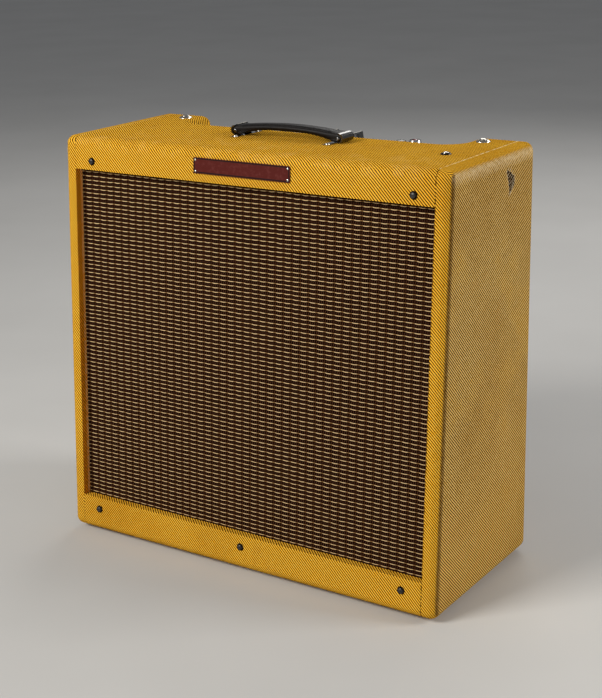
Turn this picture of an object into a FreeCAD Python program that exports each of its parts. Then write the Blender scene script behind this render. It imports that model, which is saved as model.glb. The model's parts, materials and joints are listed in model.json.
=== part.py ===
import FreeCAD, Part
import math
import os
import re

import Sketcher
import PartDesign  # registers the PartDesign feature types

# A four-speaker combo guitar amplifier: a cloth-covered pine cabinet whose front leans back, a
# baffle with grille cloth and four ten-inch loudspeakers, and a steel chassis hung under the top
# board, with its controls facing up in the cut-out at the rear of the top.
#
# Frame: X to the right as seen from the front, Y to the rear, Z up. The origin is on the floor
# under the middle of the cabinet. Parts that follow the leaning front are drawn upright in a
# frame of their own, Y into the cabinet and Z up the slope, and then tipped about the front's
# bottom edge.

Vector = FreeCAD.Vector

SIZES = {
    # cabinet
    "width": 597, "tall": 565, "deep": 267, "lean": 37, "foot": 5,
    "board": 19, "skin": 0.8, "edge_round": 12, "fingers": 7,
    "upper_rail": 44, "lower_rail": 50, "front_recess": 13,
    "cloth": 1, "baffle": 13, "cutout_radius": 116,
    "well_half": 217, "well_deep": 65, "well_corner": 27, "well_lip": 8,
    "panel_thick": 9.5, "panel_inset": 6, "upper_panel": 163, "lower_panel": 165, "cleat": 19,
    # nameplate and screws
    "plate_wide": 149.6, "plate_high": 20.7, "plate_thick": 1.5, "plate_drop": 22.9,
    "nail_inset": 3.2, "front_screw_side": 249, "top_screw_drop": 32.4, "low_screw_rise": 33.2,
    "glide_side": 255, "glide_ahead": 95, "glide_radius": 11,
    # handle
    "strap_wide": 26, "strap_centre": 17, "strap_end_radius": 5.8, "strap_arch": 8.7,
    "strap_crown": 5.6, "pin_side": 81, "pin_rise": 6.6, "pin_radius": 2, "handle_lift": 1.5,
    "cap_thick": 0.8, "ear_thick": 2.5, "ear_off": 7, "ear_crown": 3.2, "foot_half": 24.5,
    "sole_thick": 1, "sole_inner": 14, "sole_outer": 3,
    # chassis and controls
    "chassis_half": 255, "chassis_front": -14, "chassis_rear": 117, "chassis_high": 62,
    "sheet_steel": 1.5, "control_line": 90, "first_knob": 56, "knob_pitch": 38,
    "bushing_radius": 4.75, "bushing_rise": 6, "shaft_radius": 3.1, "jack_bore": 3.25,
    "chassis_screw_side": 240, "rear_screw_line": 100, "ahead_screw_line": -1.5,
    "fuse_side": 125, "lamp_side": 146, "power_side": 170, "standby_side": 92,
    # valves and transformers
    "valve_line": 84, "octal_radius": 18.5, "octal_long": 100, "preamp_radius": 10.5,
    "preamp_long": 52, "socket_high": 8,
    # loudspeakers
    "speaker_side": 134, "speaker_low": 153.5, "speaker_high": 412.5, "rim_radius": 128.5,
    "basket_deep": 60, "cone_radius": 114, "coil_radius": 12.7, "magnet_radius": 45,
}

document = FreeCAD.newDocument("guitar_amplifier")
sheet = document.addObject("Spreadsheet::Sheet", "dims")
for row, (alias, value) in enumerate(SIZES.items(), start=1):
    sheet.set(f"A{row}", alias)
    sheet.set(f"B{row}", str(value))
    sheet.setAlias(f"B{row}", alias)
document.recompute()

nodes = []


def bound(text):
    """An expression in which each bare size name refers to the sheet."""
    return re.sub(r"[a-z_]\w*", lambda word: "dims." + word.group()
                  if word.group() in SIZES else word.group(), str(text))


def number(text):
    """The value of an expression in the sheet's sizes."""
    value = sheet.evalExpression(bound(text))
    return float(getattr(value, "Value", value))


def bind(thing, **sizes):
    for name, text in sizes.items():
        thing.setExpression(name, bound(text))


def put(thing, x=0, y=0, z=0):
    """Bind an object's position."""
    for letter, text in zip("xyz", (x, y, z)):
        thing.setExpression(f"Placement.Base.{letter}", bound(text))
    return thing


def node(thing, label):
    """Mark an object as a finished sub-part, and give it its name."""
    thing.Label = label
    nodes.append(thing)
    return thing


def box(name, x, y, z):
    """A block between two expressions along each axis."""
    block = document.addObject("Part::Box", name)
    bind(block, Length=f"({x[1]}) - ({x[0]})", Width=f"({y[1]}) - ({y[0]})",
         Height=f"({z[1]}) - ({z[0]})")
    return put(block, x[0], y[0], z[0])


def rod(name, radius, span, centre, axis="z"):
    """A cylinder along an axis, between two expressions, centred on the two other coordinates."""
    cylinder = document.addObject("Part::Cylinder", name)
    bind(cylinder, Radius=radius, Height=f"({span[1]}) - ({span[0]})")
    if axis == "z":
        return put(cylinder, centre[0], centre[1], span[0])
    if axis == "y":
        cylinder.Placement.Rotation = FreeCAD.Rotation(Vector(1, 0, 0), -90)
        return put(cylinder, centre[0], span[0], centre[1])
    cylinder.Placement.Rotation = FreeCAD.Rotation(Vector(0, 1, 0), 90)
    return put(cylinder, span[0], centre[0], centre[1])


def hexagon(name, radius, span, centre):
    nut = document.addObject("Part::Prism", name)
    nut.Polygon = 6
    bind(nut, Circumradius=radius, Height=f"({span[1]}) - ({span[0]})")
    return put(nut, centre[0], centre[1], span[0])


def cut(name, base, *tools):
    """Take one or more tools away from a base."""
    result = document.addObject("Part::Cut", name)
    result.Base = base
    result.Tool = tools[0] if len(tools) == 1 else group(name + "_tools", tools)
    return result


def common(name, *shapes):
    result = document.addObject("Part::MultiCommon", name)
    result.Shapes = list(shapes)
    return result


def fuse(name, *shapes):
    result = document.addObject("Part::MultiFuse", name)
    result.Shapes = list(shapes)
    return result


def group(name, shapes):
    """Several separate solids as one object."""
    result = document.addObject("Part::Compound", name)
    result.Links = list(shapes)
    return result


def copies(name, source, places):
    """The same piece at several places, each given as three expressions."""
    links = []
    for index, place in enumerate(places, start=1):
        link = document.addObject("App::Link", f"{name}_{index}")
        link.LinkedObject = source
        put(link, *place)
        links.append(link)
    return group(name, links)


def lean_back(thing):
    """Tip a piece that was drawn upright about the bottom edge of the leaning front."""
    tipped = group(thing.Name + "_tipped", [thing])
    tipped.Placement.Rotation = FreeCAD.Rotation(Vector(-1, 0, 0), 1)
    tipped.setExpression("Placement.Rotation.Angle", bound("atan(lean / tall)"))
    return put(tipped, 0, "-deep / 2", "foot")


def origin_plane(body, role):
    return next(f for f in body.Origin.OriginFeatures if f.Role == role)


def outline(body, name, role, points, height=None):
    """A closed sketch of straight edges. Each corner is two expressions."""
    sketch = body.newObject("Sketcher::SketchObject", name)
    sketch.AttachmentSupport = [(origin_plane(body, role), "")]
    sketch.MapMode = "FlatFace"
    if height is not None:
        sketch.setExpression("AttachmentOffset.Base.z", bound(height))
    corners = [Vector(number(x), number(y), 0) for x, y in points]
    for index, start in enumerate(corners):
        sketch.addGeometry(Part.LineSegment(start, corners[(index + 1) % len(corners)]))
    for index in range(len(corners)):
        after = (index + 1) % len(corners)
        sketch.addConstraint(Sketcher.Constraint("Coincident", index, 2, after, 1))
    for index, (x, y) in enumerate(points):
        for kind, text, value in (("DistanceX", x, corners[index].x),
                                  ("DistanceY", y, corners[index].y)):
            key = sketch.addConstraint(Sketcher.Constraint(kind, -1, 1, index, 1, value))
            sketch.setExpression(f"Constraints[{key}]", bound(text))
    return sketch


def round_end(radius, start, rise, steps=5):
    """Points of a quarter ellipse, from full radius at a start height to the axis at its rise."""
    points = []
    for step in range(steps + 1):
        angle = 90 * step / steps
        points.append((f"({radius}) * cos({angle})" if step < steps else "0",
                       f"{start} + ({rise}) * sin({angle})"))
    return points


def turned(name, points):
    """A body turned about Z. Each point is a radius and a height."""
    body = document.addObject("PartDesign::Body", name)
    sketch = outline(body, name + "_profile", "XZ_Plane", points)
    revolution = body.newObject("PartDesign::Revolution", name + "_turn")
    revolution.Profile = sketch
    revolution.ReferenceAxis = (sketch, ["V_Axis"])
    revolution.Angle = 360
    return body


def padded(name, role, points, length, both_ways=False):
    """A body made by padding a closed outline."""
    body = document.addObject("PartDesign::Body", name)
    sketch = outline(body, name + "_outline", role, points)
    pad = body.newObject("PartDesign::Pad", name + "_pad")
    pad.Profile = sketch
    pad.Midplane = both_ways
    bind(pad, Length=length)
    return body


def rounded(body, radius, wanted):
    """Round the edges of a body's tip that pass a test."""
    document.recompute()
    tip = body.Tip
    names = [f"Edge{n}" for n, edge in enumerate(tip.Shape.Edges, start=1) if wanted(edge)]
    fillet = body.newObject("PartDesign::Fillet", tip.Name + "_round")
    fillet.Base = (tip, names)
    bind(fillet, Radius=radius)
    document.recompute()
    return fillet


def softened(name, block, radius, wanted):
    """Round the edges of a block that pass a test."""
    document.recompute()
    soft = document.addObject("Part::Fillet", name + "_soft")
    soft.Base = block
    soft.Edges = [(n, radius, radius) for n, edge in enumerate(block.Shape.Edges, start=1)
                  if wanted(edge)]
    return soft


def facing_back(source):
    """Turn a piece that was drawn along Z so that its Z points to the rear."""
    source.Placement = FreeCAD.Placement(Vector(0, 0, 0), FreeCAD.Rotation(Vector(1, 0, 0), -90))
    return source


# Heights and half-widths that many parts share.
TOP = "(foot + tall)"
UNDER_TOP = "(foot + tall - skin - board)"
OVER_BOTTOM = "(foot + skin + board)"
INNER = "(width / 2 - skin - board)"
SLOPE = "sqrt(tall ^ 2 + lean ^ 2)"
BACK = "(deep / 2)"
PANEL = UNDER_TOP                                    # the control panel's upper face
CHASSIS_LOW = f"({UNDER_TOP} - chassis_high)"


# ---------------------------------------------------------------- cabinet

def wedge(name, inset):
    """The cabinet's rounded outer form, with the control well cut from the rear of its top."""
    shift = f"{inset} * {SLOPE} / tall"
    points = [(f"-deep / 2 + lean * {inset} / tall + {shift}", f"foot + {inset}"),
              (f"deep / 2 - {inset}", f"foot + {inset}"),
              (f"deep / 2 - {inset}", f"foot + tall - {inset}"),
              (f"-deep / 2 + lean - lean * {inset} / tall + {shift}", f"foot + tall - {inset}")]
    body = padded(name, "YZ_Plane", points, f"width - 2 * {inset}", both_ways=True)
    side = f"(well_half + {inset})"
    front = f"(deep / 2 - well_deep - {inset})"
    beyond = "(deep / 2 + board)"
    well = [(f"-{side}", front), (side, front), (side, beyond), (f"-{side}", beyond)]
    sketch = outline(body, name + "_well", "XY_Plane", well, f"foot + tall - {inset}")
    pocket = body.newObject("PartDesign::Pocket", name + "_pocket")
    pocket.Profile = sketch
    bind(pocket, Length=f"board + skin - {inset}")
    side_at, front_at = number(side), number(front)
    rear_at = number(f"deep / 2 - {inset}")
    low, high = number(f"foot + {inset}"), number(f"foot + tall - {inset}")
    floor = number(UNDER_TOP)

    def well_upright(edge, y):
        middle = edge.CenterOfMass
        upright = abs(edge.Vertexes[0].Z - edge.Vertexes[-1].Z) > 1 and middle.z > floor
        return upright and abs(abs(middle.x) - side_at) < 0.01 and abs(middle.y - y) < 0.01

    rounded(body, f"well_corner - {inset}", lambda edge: well_upright(edge, front_at))
    rounded(body, f"well_lip - {inset}", lambda edge: well_upright(edge, rear_at))

    def outer(edge):
        return all(min(abs(vertex.Z - low), abs(vertex.Z - high)) < 0.01
                   for vertex in edge.Vertexes)

    rounded(body, f"edge_round - {inset}", outer)
    return body


core = wedge("core", "skin")
shell = wedge("shell", "0")


def fingers(name, first):
    """The blocks of the finger joints at the four corners, every second one from the first."""
    blocks = []
    for side, x in (("l", ("-width", f"-{INNER}")), ("r", (INNER, "width"))):
        for level, z in (("low", ("0", OVER_BOTTOM)), ("high", (UNDER_TOP, "2 * tall"))):
            for index in range(first, SIZES["fingers"], 2):
                front = f"-deep / 2 + deep * {index} / fingers"
                y = (front if index else "-deep", f"-deep / 2 + deep * {index + 1} / fingers"
                     if index < SIZES["fingers"] - 1 else "deep")
                blocks.append(box(f"{name}_{side}_{level}_{index}", x, y, z))
    return group(name, blocks)


even_fingers = fingers("even_fingers", 0)
odd_fingers = fingers("odd_fingers", 1)
for side, x in (("left", ("-width", f"-{INNER}")), ("right", (INNER, "width"))):
    slab = box(f"{side}_slab", x, ("-deep", "deep"), ("0", "2 * tall"))
    blank = common(f"{side}_blank", core, slab)
    node(cut(f"side_{side}", blank, even_fingers), f"side_board_{side}")
top_slab = box("top_slab", ("-width", "width"), ("-deep", "deep"), (UNDER_TOP, "2 * tall"))
low_slab = box("low_slab", ("-width", "width"), ("-deep", "deep"), ("0", OVER_BOTTOM))
node(cut("top_with_fingers", common("top_blank", core, top_slab), odd_fingers), "top_board")
node(cut("low_with_fingers", common("low_blank", core, low_slab), odd_fingers), "bottom_board")


def front_rail(name, z, slab):
    """A thin board between the sides, under the cloth, above or below the front opening."""
    strip = lean_back(box(name + "_strip", (f"-{INNER}", INNER), ("-5", "front_recess"), z))
    return cut(name, common(name + "_blank", core, strip), slab)


RAIL_LOW = "lower_rail"
RAIL_HIGH = f"({SLOPE} - upper_rail)"
node(front_rail("upper_front", (f"{RAIL_HIGH} + skin", f"{SLOPE} + 20"), top_slab),
     "upper_front_board")
node(front_rail("lower_front", ("-20", f"{RAIL_LOW} - skin"), low_slab), "lower_front_board")

# The cloth covering: one piece on each side, lapping a board's thickness round every edge, and one
# each over the top and the bottom, which run over the front boards into the opening.
skin_all = cut("skin_all", shell, core)
LAP = f"({INNER} - skin)"
REVEAL = ("skin / 2", "front_recess")
for side in ("left", "right"):
    x = ("-width", f"-{LAP}") if side == "left" else (LAP, "width")
    lap = box(f"{side}_lap", x, ("-deep", "deep"), ("0", "2 * tall"))
    outside = cut(f"{side}_wrap", common(f"{side}_wrap_blank", shell, lap), core)
    inside_x = (f"-{INNER}", f"-{LAP}") if side == "left" else (LAP, INNER)
    inside = lean_back(box(f"{side}_reveal", inside_x, REVEAL, (RAIL_LOW, RAIL_HIGH)))
    node(fuse(f"{side}_cover", outside, inside), f"covering_{side}")


def rail_cover(name, slab, front_z, reveal_z):
    """Cloth over a top or bottom board, its front rail and the rail's edge in the opening."""
    middle = box(name + "_middle", (f"-{LAP}", LAP), ("-deep", "deep"), ("0", "2 * tall"))
    over_board = common(name + "_over_board", skin_all, slab, middle)
    front = lean_back(box(name + "_front", (f"-{LAP}", LAP), ("-5", "skin"), front_z))
    over_rail = common(name + "_over_rail", skin_all, front)
    reveal = lean_back(box(name + "_reveal", (f"-{LAP}", LAP), ("0", "front_recess"), reveal_z))
    return fuse(name, over_board, over_rail, common(name + "_edge", shell, reveal))


node(rail_cover("top_cover", top_slab, (RAIL_HIGH, f"{SLOPE} - board"),
                (RAIL_HIGH, f"{RAIL_HIGH} + skin")), "covering_top")
node(rail_cover("bottom_cover", low_slab, ("board", RAIL_LOW),
                (f"{RAIL_LOW} - skin", RAIL_LOW)), "covering_bottom")

# The baffle and its grille cloth, held behind the front boards.
BAFFLE_LOW = "22"
BAFFLE_HIGH = f"({SLOPE} - 20)"
BAFFLE_REAR = "(front_recess + cloth + baffle)"
SPEAKERS = [("upper_left", "-speaker_side", "speaker_high"),
            ("upper_right", "speaker_side", "speaker_high"),
            ("lower_left", "-speaker_side", "speaker_low"),
            ("lower_right", "speaker_side", "speaker_low")]
FRONT_SCREWS = [("-front_screw_side", f"({SLOPE} - top_screw_drop)"),
                ("front_screw_side", f"({SLOPE} - top_screw_drop)"),
                ("-front_screw_side", "low_screw_rise"), ("0", "low_screw_rise"),
                ("front_screw_side", "low_screw_rise")]
baffle_blank = box("baffle_blank", (f"-{INNER} + 0.7", f"{INNER} - 0.7"),
                   ("front_recess + cloth", BAFFLE_REAR), (BAFFLE_LOW, BAFFLE_HIGH))
ports = [rod(f"port_{name}", "cutout_radius", ("0", "2 * front_recess + baffle"), (x, z), "y")
         for name, x, z in SPEAKERS]
node(lean_back(cut("baffle_ported", baffle_blank, *ports)), "baffle_board")
node(lean_back(box("grille", (f"-{INNER} + 0.7", f"{INNER} - 0.7"),
                   ("front_recess", "front_recess + cloth"),
                   (f"{BAFFLE_LOW} + 2", f"{BAFFLE_HIGH} - 1"))), "grille_cloth")

# Back panels, their cleats, covering and screws.
PANEL_REAR = f"({BACK} - panel_inset)"
PANEL_FRONT = f"({PANEL_REAR} - panel_thick)"
UPPER_Z = (f"{UNDER_TOP} - 1 - upper_panel", f"{UNDER_TOP} - 1")
LOWER_Z = (f"{OVER_BOTTOM} + 1", f"{OVER_BOTTOM} + 1 + lower_panel")
PANEL_SIDE = f"({INNER} - 0.7)"
panel_covers = []
cleats = []
for name, z in (("upper", UPPER_Z), ("lower", LOWER_Z)):
    node(box(f"{name}_back", (f"-{PANEL_SIDE}", PANEL_SIDE), (PANEL_FRONT, PANEL_REAR), z),
         f"{name}_back_panel")
    panel_covers.append(box(f"{name}_back_cloth", (f"-{PANEL_SIDE}", PANEL_SIDE),
                            (PANEL_REAR, f"{PANEL_REAR} + skin"), z))
    cleats += [box(f"{name}_cleat_{side}", x, (f"{PANEL_FRONT} - cleat", PANEL_FRONT), z)
               for side, x in (("left", (f"-{INNER}", f"-{INNER} + cleat")),
                               ("right", (f"{INNER} - cleat", INNER)))]
node(group("back_covers", panel_covers), "covering_back_panels")
node(group("cleats", cleats), "cabinet_cleats")


def oval_screw(name, shank, long, head, washer_rise):
    """An oval-head screw with a slot, its head's edge at washer_rise above the surface."""
    body = turned(name, [("0", f"-{long}"), (f"{shank} * 0.6", f"-{long} + 2"),
                         (shank, f"-{long} + 5"), (shank, f"{washer_rise} - {head} + {shank}"),
                         *round_end(head, washer_rise, f"{head} * 0.36", 4)])
    slot = box(name + "_slot", (f"-{head}", head), ("-0.5", "0.5"),
               (f"{washer_rise} + {head} * 0.36 - 1.1", f"{washer_rise} + {head}"))
    return cut(name + "_slotted", body, slot)


def cup_washer(name, outer, inner, rise):
    """A dished washer that a screw's head sinks into."""
    return turned(name, [(f"{inner} * 0.55", "0"), (outer, "0"), (f"{outer} - 0.2", "0.7"),
                         (f"{inner} + 0.9", rise), (f"{inner} + 0.2", f"{rise} - 0.1"),
                         (f"{inner} * 0.55", f"{rise} - {inner} * 0.45 - 0.1")])


def rear_facing(name, source):
    """A screw drawn along Z, turned to point at the front, its head towards the viewer."""
    source.Placement = FreeCAD.Placement(Vector(0, 0, 0), FreeCAD.Rotation(Vector(1, 0, 0), 90))
    return group(name, [source])


baffle_screw = rear_facing("baffle_screw", oval_screw("baffle_screw_turned", "1.9", "24", "3.6", "1.8"))
baffle_washer = rear_facing("baffle_washer", cup_washer("baffle_washer_turned", "5.4", "3.6", "1.8"))
screw_places = [(x, "0", z) for x, z in FRONT_SCREWS]
node(lean_back(copies("baffle_screw_set", baffle_screw, screw_places)), "baffle_screws")
front_washers = lean_back(copies("baffle_washer_set", baffle_washer, screw_places))

back_screw = oval_screw("back_screw_turned", "1.9", "22", "3.6", "1.2")
facing_back(back_screw)
back_screws = []
for panel, z in (("upper", UPPER_Z), ("lower", LOWER_Z)):
    for side in ("-1", "1"):
        for share in ("0.08", "0.5", "0.92"):
            back_screws.append((f"{side} * ({INNER} - cleat / 2)", f"{PANEL_REAR} + skin",
                                f"{z[0]} + ({z[1]} - ({z[0]})) * {share}"))
node(copies("back_screw_set", group("back_screw", [back_screw]), back_screws),
     "back_panel_screws")

# Nameplate, with four nails, on the upper front board.
PLATE_MID = f"({SLOPE} - plate_drop)"
name_body = padded("plate", "XZ_Plane",
                   [("-plate_wide / 2", f"{PLATE_MID} - plate_high / 2"),
                    ("plate_wide / 2", f"{PLATE_MID} - plate_high / 2"),
                    ("plate_wide / 2", f"{PLATE_MID} + plate_high / 2"),
                    ("-plate_wide / 2", f"{PLATE_MID} + plate_high / 2")], "plate_thick")
rounded(name_body, "1.2", lambda edge: abs(edge.tangentAt(0.5).y) > 0.9)
node(lean_back(name_body), "nameplate")
nail = rear_facing("nail", turned("nail_turned", [("0", "-8"), ("0.7", "-7"), ("0.7", "0"),
                                                 *round_end("1.5", "0", "0.8", 4)]))
node(lean_back(copies("nails", nail, [
    (f"{x} * (plate_wide / 2 - nail_inset)", "-plate_thick",
     f"{PLATE_MID} + {z} * (plate_high / 2 - nail_inset)") for x in (-1, 1) for z in (-1, 1)])),
    "nameplate_nails")

# Domed steel glides under the four corners.
glide = turned("glide", [("0", "-foot"), ("glide_radius * 0.55", "-foot"),
                         ("glide_radius * 0.78", "-foot * 0.82"), ("glide_radius * 0.94", "-foot * 0.5"),
                         ("glide_radius", "-1.2"), ("glide_radius", "0"), ("1.6", "0"),
                         ("1.6", "12"), ("0", "15")])
node(copies("glides", glide, [(f"{x} * glide_side", f"{y} * glide_ahead", "foot")
                              for x in (-1, 1) for y in (-1, 1)]), "floor_glides")


# ---------------------------------------------------------------- handle

# A stitched leather strap, arched, with rounded ends in chrome caps. A domed pin goes through each
# end. It runs in a slotted pair of ears, which stand in slots under the strap, so the strap can
# rise when it is pulled.
PIN_LEVEL = f"({TOP} + pin_rise)"
END_MIDDLE = f"({PIN_LEVEL} + 0.5)"
END_SIDE = "(pin_side + 1)"
ARCH_STEPS = 8
END_STEPS = 6


def half_round(side, radius, first, last):
    """Points of a strap's rounded end, between two angles."""
    return [(f"{side} * ({END_SIDE} + ({radius}) * cos({first + (last - first) * n / END_STEPS}))",
             f"{END_MIDDLE} + ({radius}) * sin({first + (last - first) * n / END_STEPS})")
            for n in range(END_STEPS + 1)]


below = []
above = []
for step in range(ARCH_STEPS + 1):
    share = 2 * step / ARCH_STEPS - 1
    below.append((f"(pin_side - 8) * {share}",
                  f"{END_MIDDLE} - strap_end_radius + strap_arch * {1 - abs(share) ** 3}"))
    if 0 < step < ARCH_STEPS:
        above.append((f"-{END_SIDE} * {share}",
                      f"{END_MIDDLE} + strap_end_radius + strap_crown * {1 - share ** 2}"))
strap = padded("strap", "XZ_Plane",
               [*below, *half_round(1, "strap_end_radius", -90, 90), *above,
                *half_round(-1, "strap_end_radius", 90, -90)], "strap_wide", both_ways=True)
strap_tools = []
for side in (-1, 1):
    strap_tools.append(rod(f"strap_bore_{side + 1}", "pin_radius", ("-strap_wide", "strap_wide"),
                           (f"{side} * pin_side", PIN_LEVEL), "y"))
    for way in (-1, 1):
        x = (f"{side} * (pin_side - sole_inner - 3)", f"{side} * (pin_side + ear_crown + 0.6)")
        y = (f"{way} * (ear_off - ear_thick / 2 - 0.5)", f"{way} * (ear_off + ear_thick / 2 + 0.5)")
        strap_tools.append(box(f"strap_slot_{side + 1}_{way + 1}", x if side > 0 else x[::-1],
                               y if way > 0 else y[::-1],
                               (f"{TOP} - 1", f"{PIN_LEVEL} + handle_lift + ear_crown + 0.4")))
strap_cut = cut("strap_slotted", strap, *strap_tools)
put(strap_cut, 0, "strap_centre", 0)
node(strap_cut, "handle_strap")

end_fittings = []
for side, name in ((-1, "left"), (1, "right")):
    cap_outline = half_round(side, "strap_end_radius + cap_thick", -90, 90)
    cap = padded(f"cap_{name}", "XZ_Plane", cap_outline if side > 0 else cap_outline[::-1],
                 "strap_wide + 2 * cap_thick", both_ways=True)
    inner_outline = half_round(side, "strap_end_radius", -90, 90)
    inner = padded(f"cap_{name}_room", "XZ_Plane", [
        (f"{side} * (pin_side - 5)", f"{END_MIDDLE} - strap_end_radius"), *inner_outline,
        (f"{side} * (pin_side - 5)", f"{END_MIDDLE} + strap_end_radius")][::side],
        "strap_wide", both_ways=True)
    eye = rod(f"cap_{name}_eye", "strap_end_radius - 1.2", ("-strap_wide", "strap_wide"),
              (f"{side} * {END_SIDE}", END_MIDDLE), "y")
    pin = rod(f"pin_{name}", "pin_radius", ("-strap_wide / 2 - 0.6", "strap_wide / 2 + 0.6"),
              (f"{side} * pin_side", PIN_LEVEL), "y")
    domes = []
    for way in (-1, 1):
        dome = turned(f"pin_dome_{name}_{way + 1}", [("0", "0"), *round_end("2.8", "0", "1.4", 4)])
        dome.Placement.Rotation = FreeCAD.Rotation(Vector(-way, 0, 0), 90)
        domes.append(put(dome, f"{side} * pin_side", f"{way} * (strap_wide / 2 + 0.6)", PIN_LEVEL))
    end_fittings += [cut(f"cap_{name}_open", cap, inner, eye), fuse(f"pin_{name}_domed", pin, *domes)]
fittings = group("end_fittings", end_fittings)
put(fittings, 0, "strap_centre", 0)
node(fittings, "handle_end_fittings")

brackets = []
foot_screws = []
for side, name in ((-1, "left"), (1, "right")):
    x = f"{side} * pin_side"
    sole_x = (f"{side} * (pin_side - sole_inner)", f"{side} * (pin_side - sole_outer)")
    pieces = [box(f"sole_{name}", sole_x if side > 0 else sole_x[::-1],
                  ("-foot_half - 5", "foot_half + 5"), (TOP, f"{TOP} + sole_thick"))]
    for way in (-1, 1):
        tag = f"{name}_{way + 1}"
        corners = [(f"{side} * (pin_side - sole_inner)", TOP),
                   (f"{side} * (pin_side - sole_outer - 1)", TOP),
                   (f"{side} * (pin_side + ear_crown)", PIN_LEVEL),
                   (f"{side} * (pin_side + ear_crown)", f"{PIN_LEVEL} + handle_lift"),
                   (f"{side} * (pin_side - ear_crown)", f"{PIN_LEVEL} + handle_lift"),
                   (f"{side} * (pin_side - ear_crown)", PIN_LEVEL)]
        leg = padded(f"leg_{tag}", "XZ_Plane", corners[::side], "ear_thick", both_ways=True)
        put(leg, 0, f"{way} * ear_off", 0)
        y = (f"{way} * ear_off - ear_thick / 2", f"{way} * ear_off + ear_thick / 2")
        pieces += [leg, rod(f"crown_{tag}", "ear_crown", y, (x, f"{PIN_LEVEL} + handle_lift"), "y"),
                   rod(f"heel_{tag}", "ear_crown", y, (x, PIN_LEVEL), "y")]
    slot = [rod(f"ear_slot_low_{name}", "pin_radius + 0.1", ("-strap_wide", "strap_wide"),
                (x, PIN_LEVEL), "y"),
            rod(f"ear_slot_high_{name}", "pin_radius + 0.1", ("-strap_wide", "strap_wide"),
                (x, f"{PIN_LEVEL} + handle_lift"), "y"),
            box(f"ear_slot_mid_{name}", (f"{x} - pin_radius - 0.1", f"{x} + pin_radius + 0.1"),
                ("-strap_wide", "strap_wide"), (PIN_LEVEL, f"{PIN_LEVEL} + handle_lift"))]
    brackets.append(cut(f"bracket_{name}", fuse(f"bracket_{name}_solid", *pieces),
                        fuse(f"ear_slot_{name}", *slot)))
    foot_screws += [(f"{side} * (pin_side - (sole_inner + sole_outer) / 2)",
                     f"strap_centre + {way} * foot_half", f"{TOP} + sole_thick")
                    for way in (-1, 1)]
bracket_group = group("brackets", brackets)
put(bracket_group, 0, "strap_centre", 0)
node(bracket_group, "handle_brackets")

handle_screw = turned("handle_screw", [("0", "-17"), ("1.6", "-14"), ("1.6", "0"),
                                       *round_end("3.4", "0", "2", 4)])
rear_top_screw = oval_screw("rear_top_screw", "2.4", "24", "5", "2.6")
ahead_top_screw = oval_screw("ahead_top_screw", "2.4", "24", "4", "2")
REAR_SCREWS = [("-chassis_screw_side", "rear_screw_line", TOP),
               ("chassis_screw_side", "rear_screw_line", TOP)]
AHEAD_SCREWS = [("chassis_screw_side", "ahead_screw_line", TOP)]
node(group("top_screw_set", [copies("handle_screw_set", handle_screw, foot_screws),
                             copies("rear_top_screws", rear_top_screw, REAR_SCREWS),
                             copies("ahead_top_screws", ahead_top_screw, AHEAD_SCREWS)]),
     "top_screws")
node(group("washers", [
    front_washers,
    copies("rear_washers", cup_washer("rear_washer", "9.5", "5", "2.6"), REAR_SCREWS),
    copies("ahead_washers", cup_washer("ahead_washer", "7", "4", "2"), AHEAD_SCREWS)]),
    "cup_washers")


# ---------------------------------------------------------------- chassis and controls

KNOBS = [("normal_volume", 5), ("bright_volume", 4), ("treble", 3), ("bass", 2),
         ("middle", 1), ("presence", 0)]
JACKS = [(x, y) for x in ("-160", "-184") for y in ("control_line - 11", "control_line + 12")]
OCTALS = [("-20", "valve_line"), ("35", "valve_line"), ("92", "valve_line")]
PREAMPS = [("-72", "valve_line"), ("-104", "valve_line"), ("-136", "valve_line")]
SWITCHES = [("power", "power_side"), ("standby", "standby_side")]
outside = box("chassis_outside", ("-chassis_half", "chassis_half"),
              ("chassis_front", "chassis_rear"), (CHASSIS_LOW, PANEL))
inside = box("chassis_inside", ("-chassis_half + sheet_steel", "chassis_half - sheet_steel"),
             ("chassis_front + sheet_steel", "chassis_rear + 5"),
             (f"{CHASSIS_LOW} + sheet_steel", f"{PANEL} - sheet_steel"))
THROUGH_TOP = (f"{PANEL} - 5", f"{PANEL} + 5")
THROUGH_LOW = (f"{CHASSIS_LOW} - 5", f"{CHASSIS_LOW} + 5")
holes = [rod(f"knob_hole_{index}", "bushing_radius", THROUGH_TOP,
             (f"first_knob - {index} * knob_pitch", "control_line")) for index in range(6)]
holes += [rod(f"jack_hole_{n}", "bushing_radius", THROUGH_TOP, place)
          for n, place in enumerate(JACKS)]
holes += [rod(f"{name}_hole", "bushing_radius", THROUGH_TOP, (x, "control_line"))
          for name, x in SWITCHES]
holes += [rod("fuse_hole", "6", THROUGH_TOP, ("fuse_side", "control_line")),
          rod("lamp_hole", "7", THROUGH_TOP, ("lamp_side", "control_line"))]
holes += [rod(f"octal_hole_{n}", "14", THROUGH_LOW, place) for n, place in enumerate(OCTALS)]
holes += [rod(f"preamp_hole_{n}", "9", THROUGH_LOW, place) for n, place in enumerate(PREAMPS)]
GROMMET = ("238", "96")
holes.append(rod("grommet_hole", "7", THROUGH_LOW, GROMMET))
node(cut("chassis_pan", outside, inside, *holes), "chassis")

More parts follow.
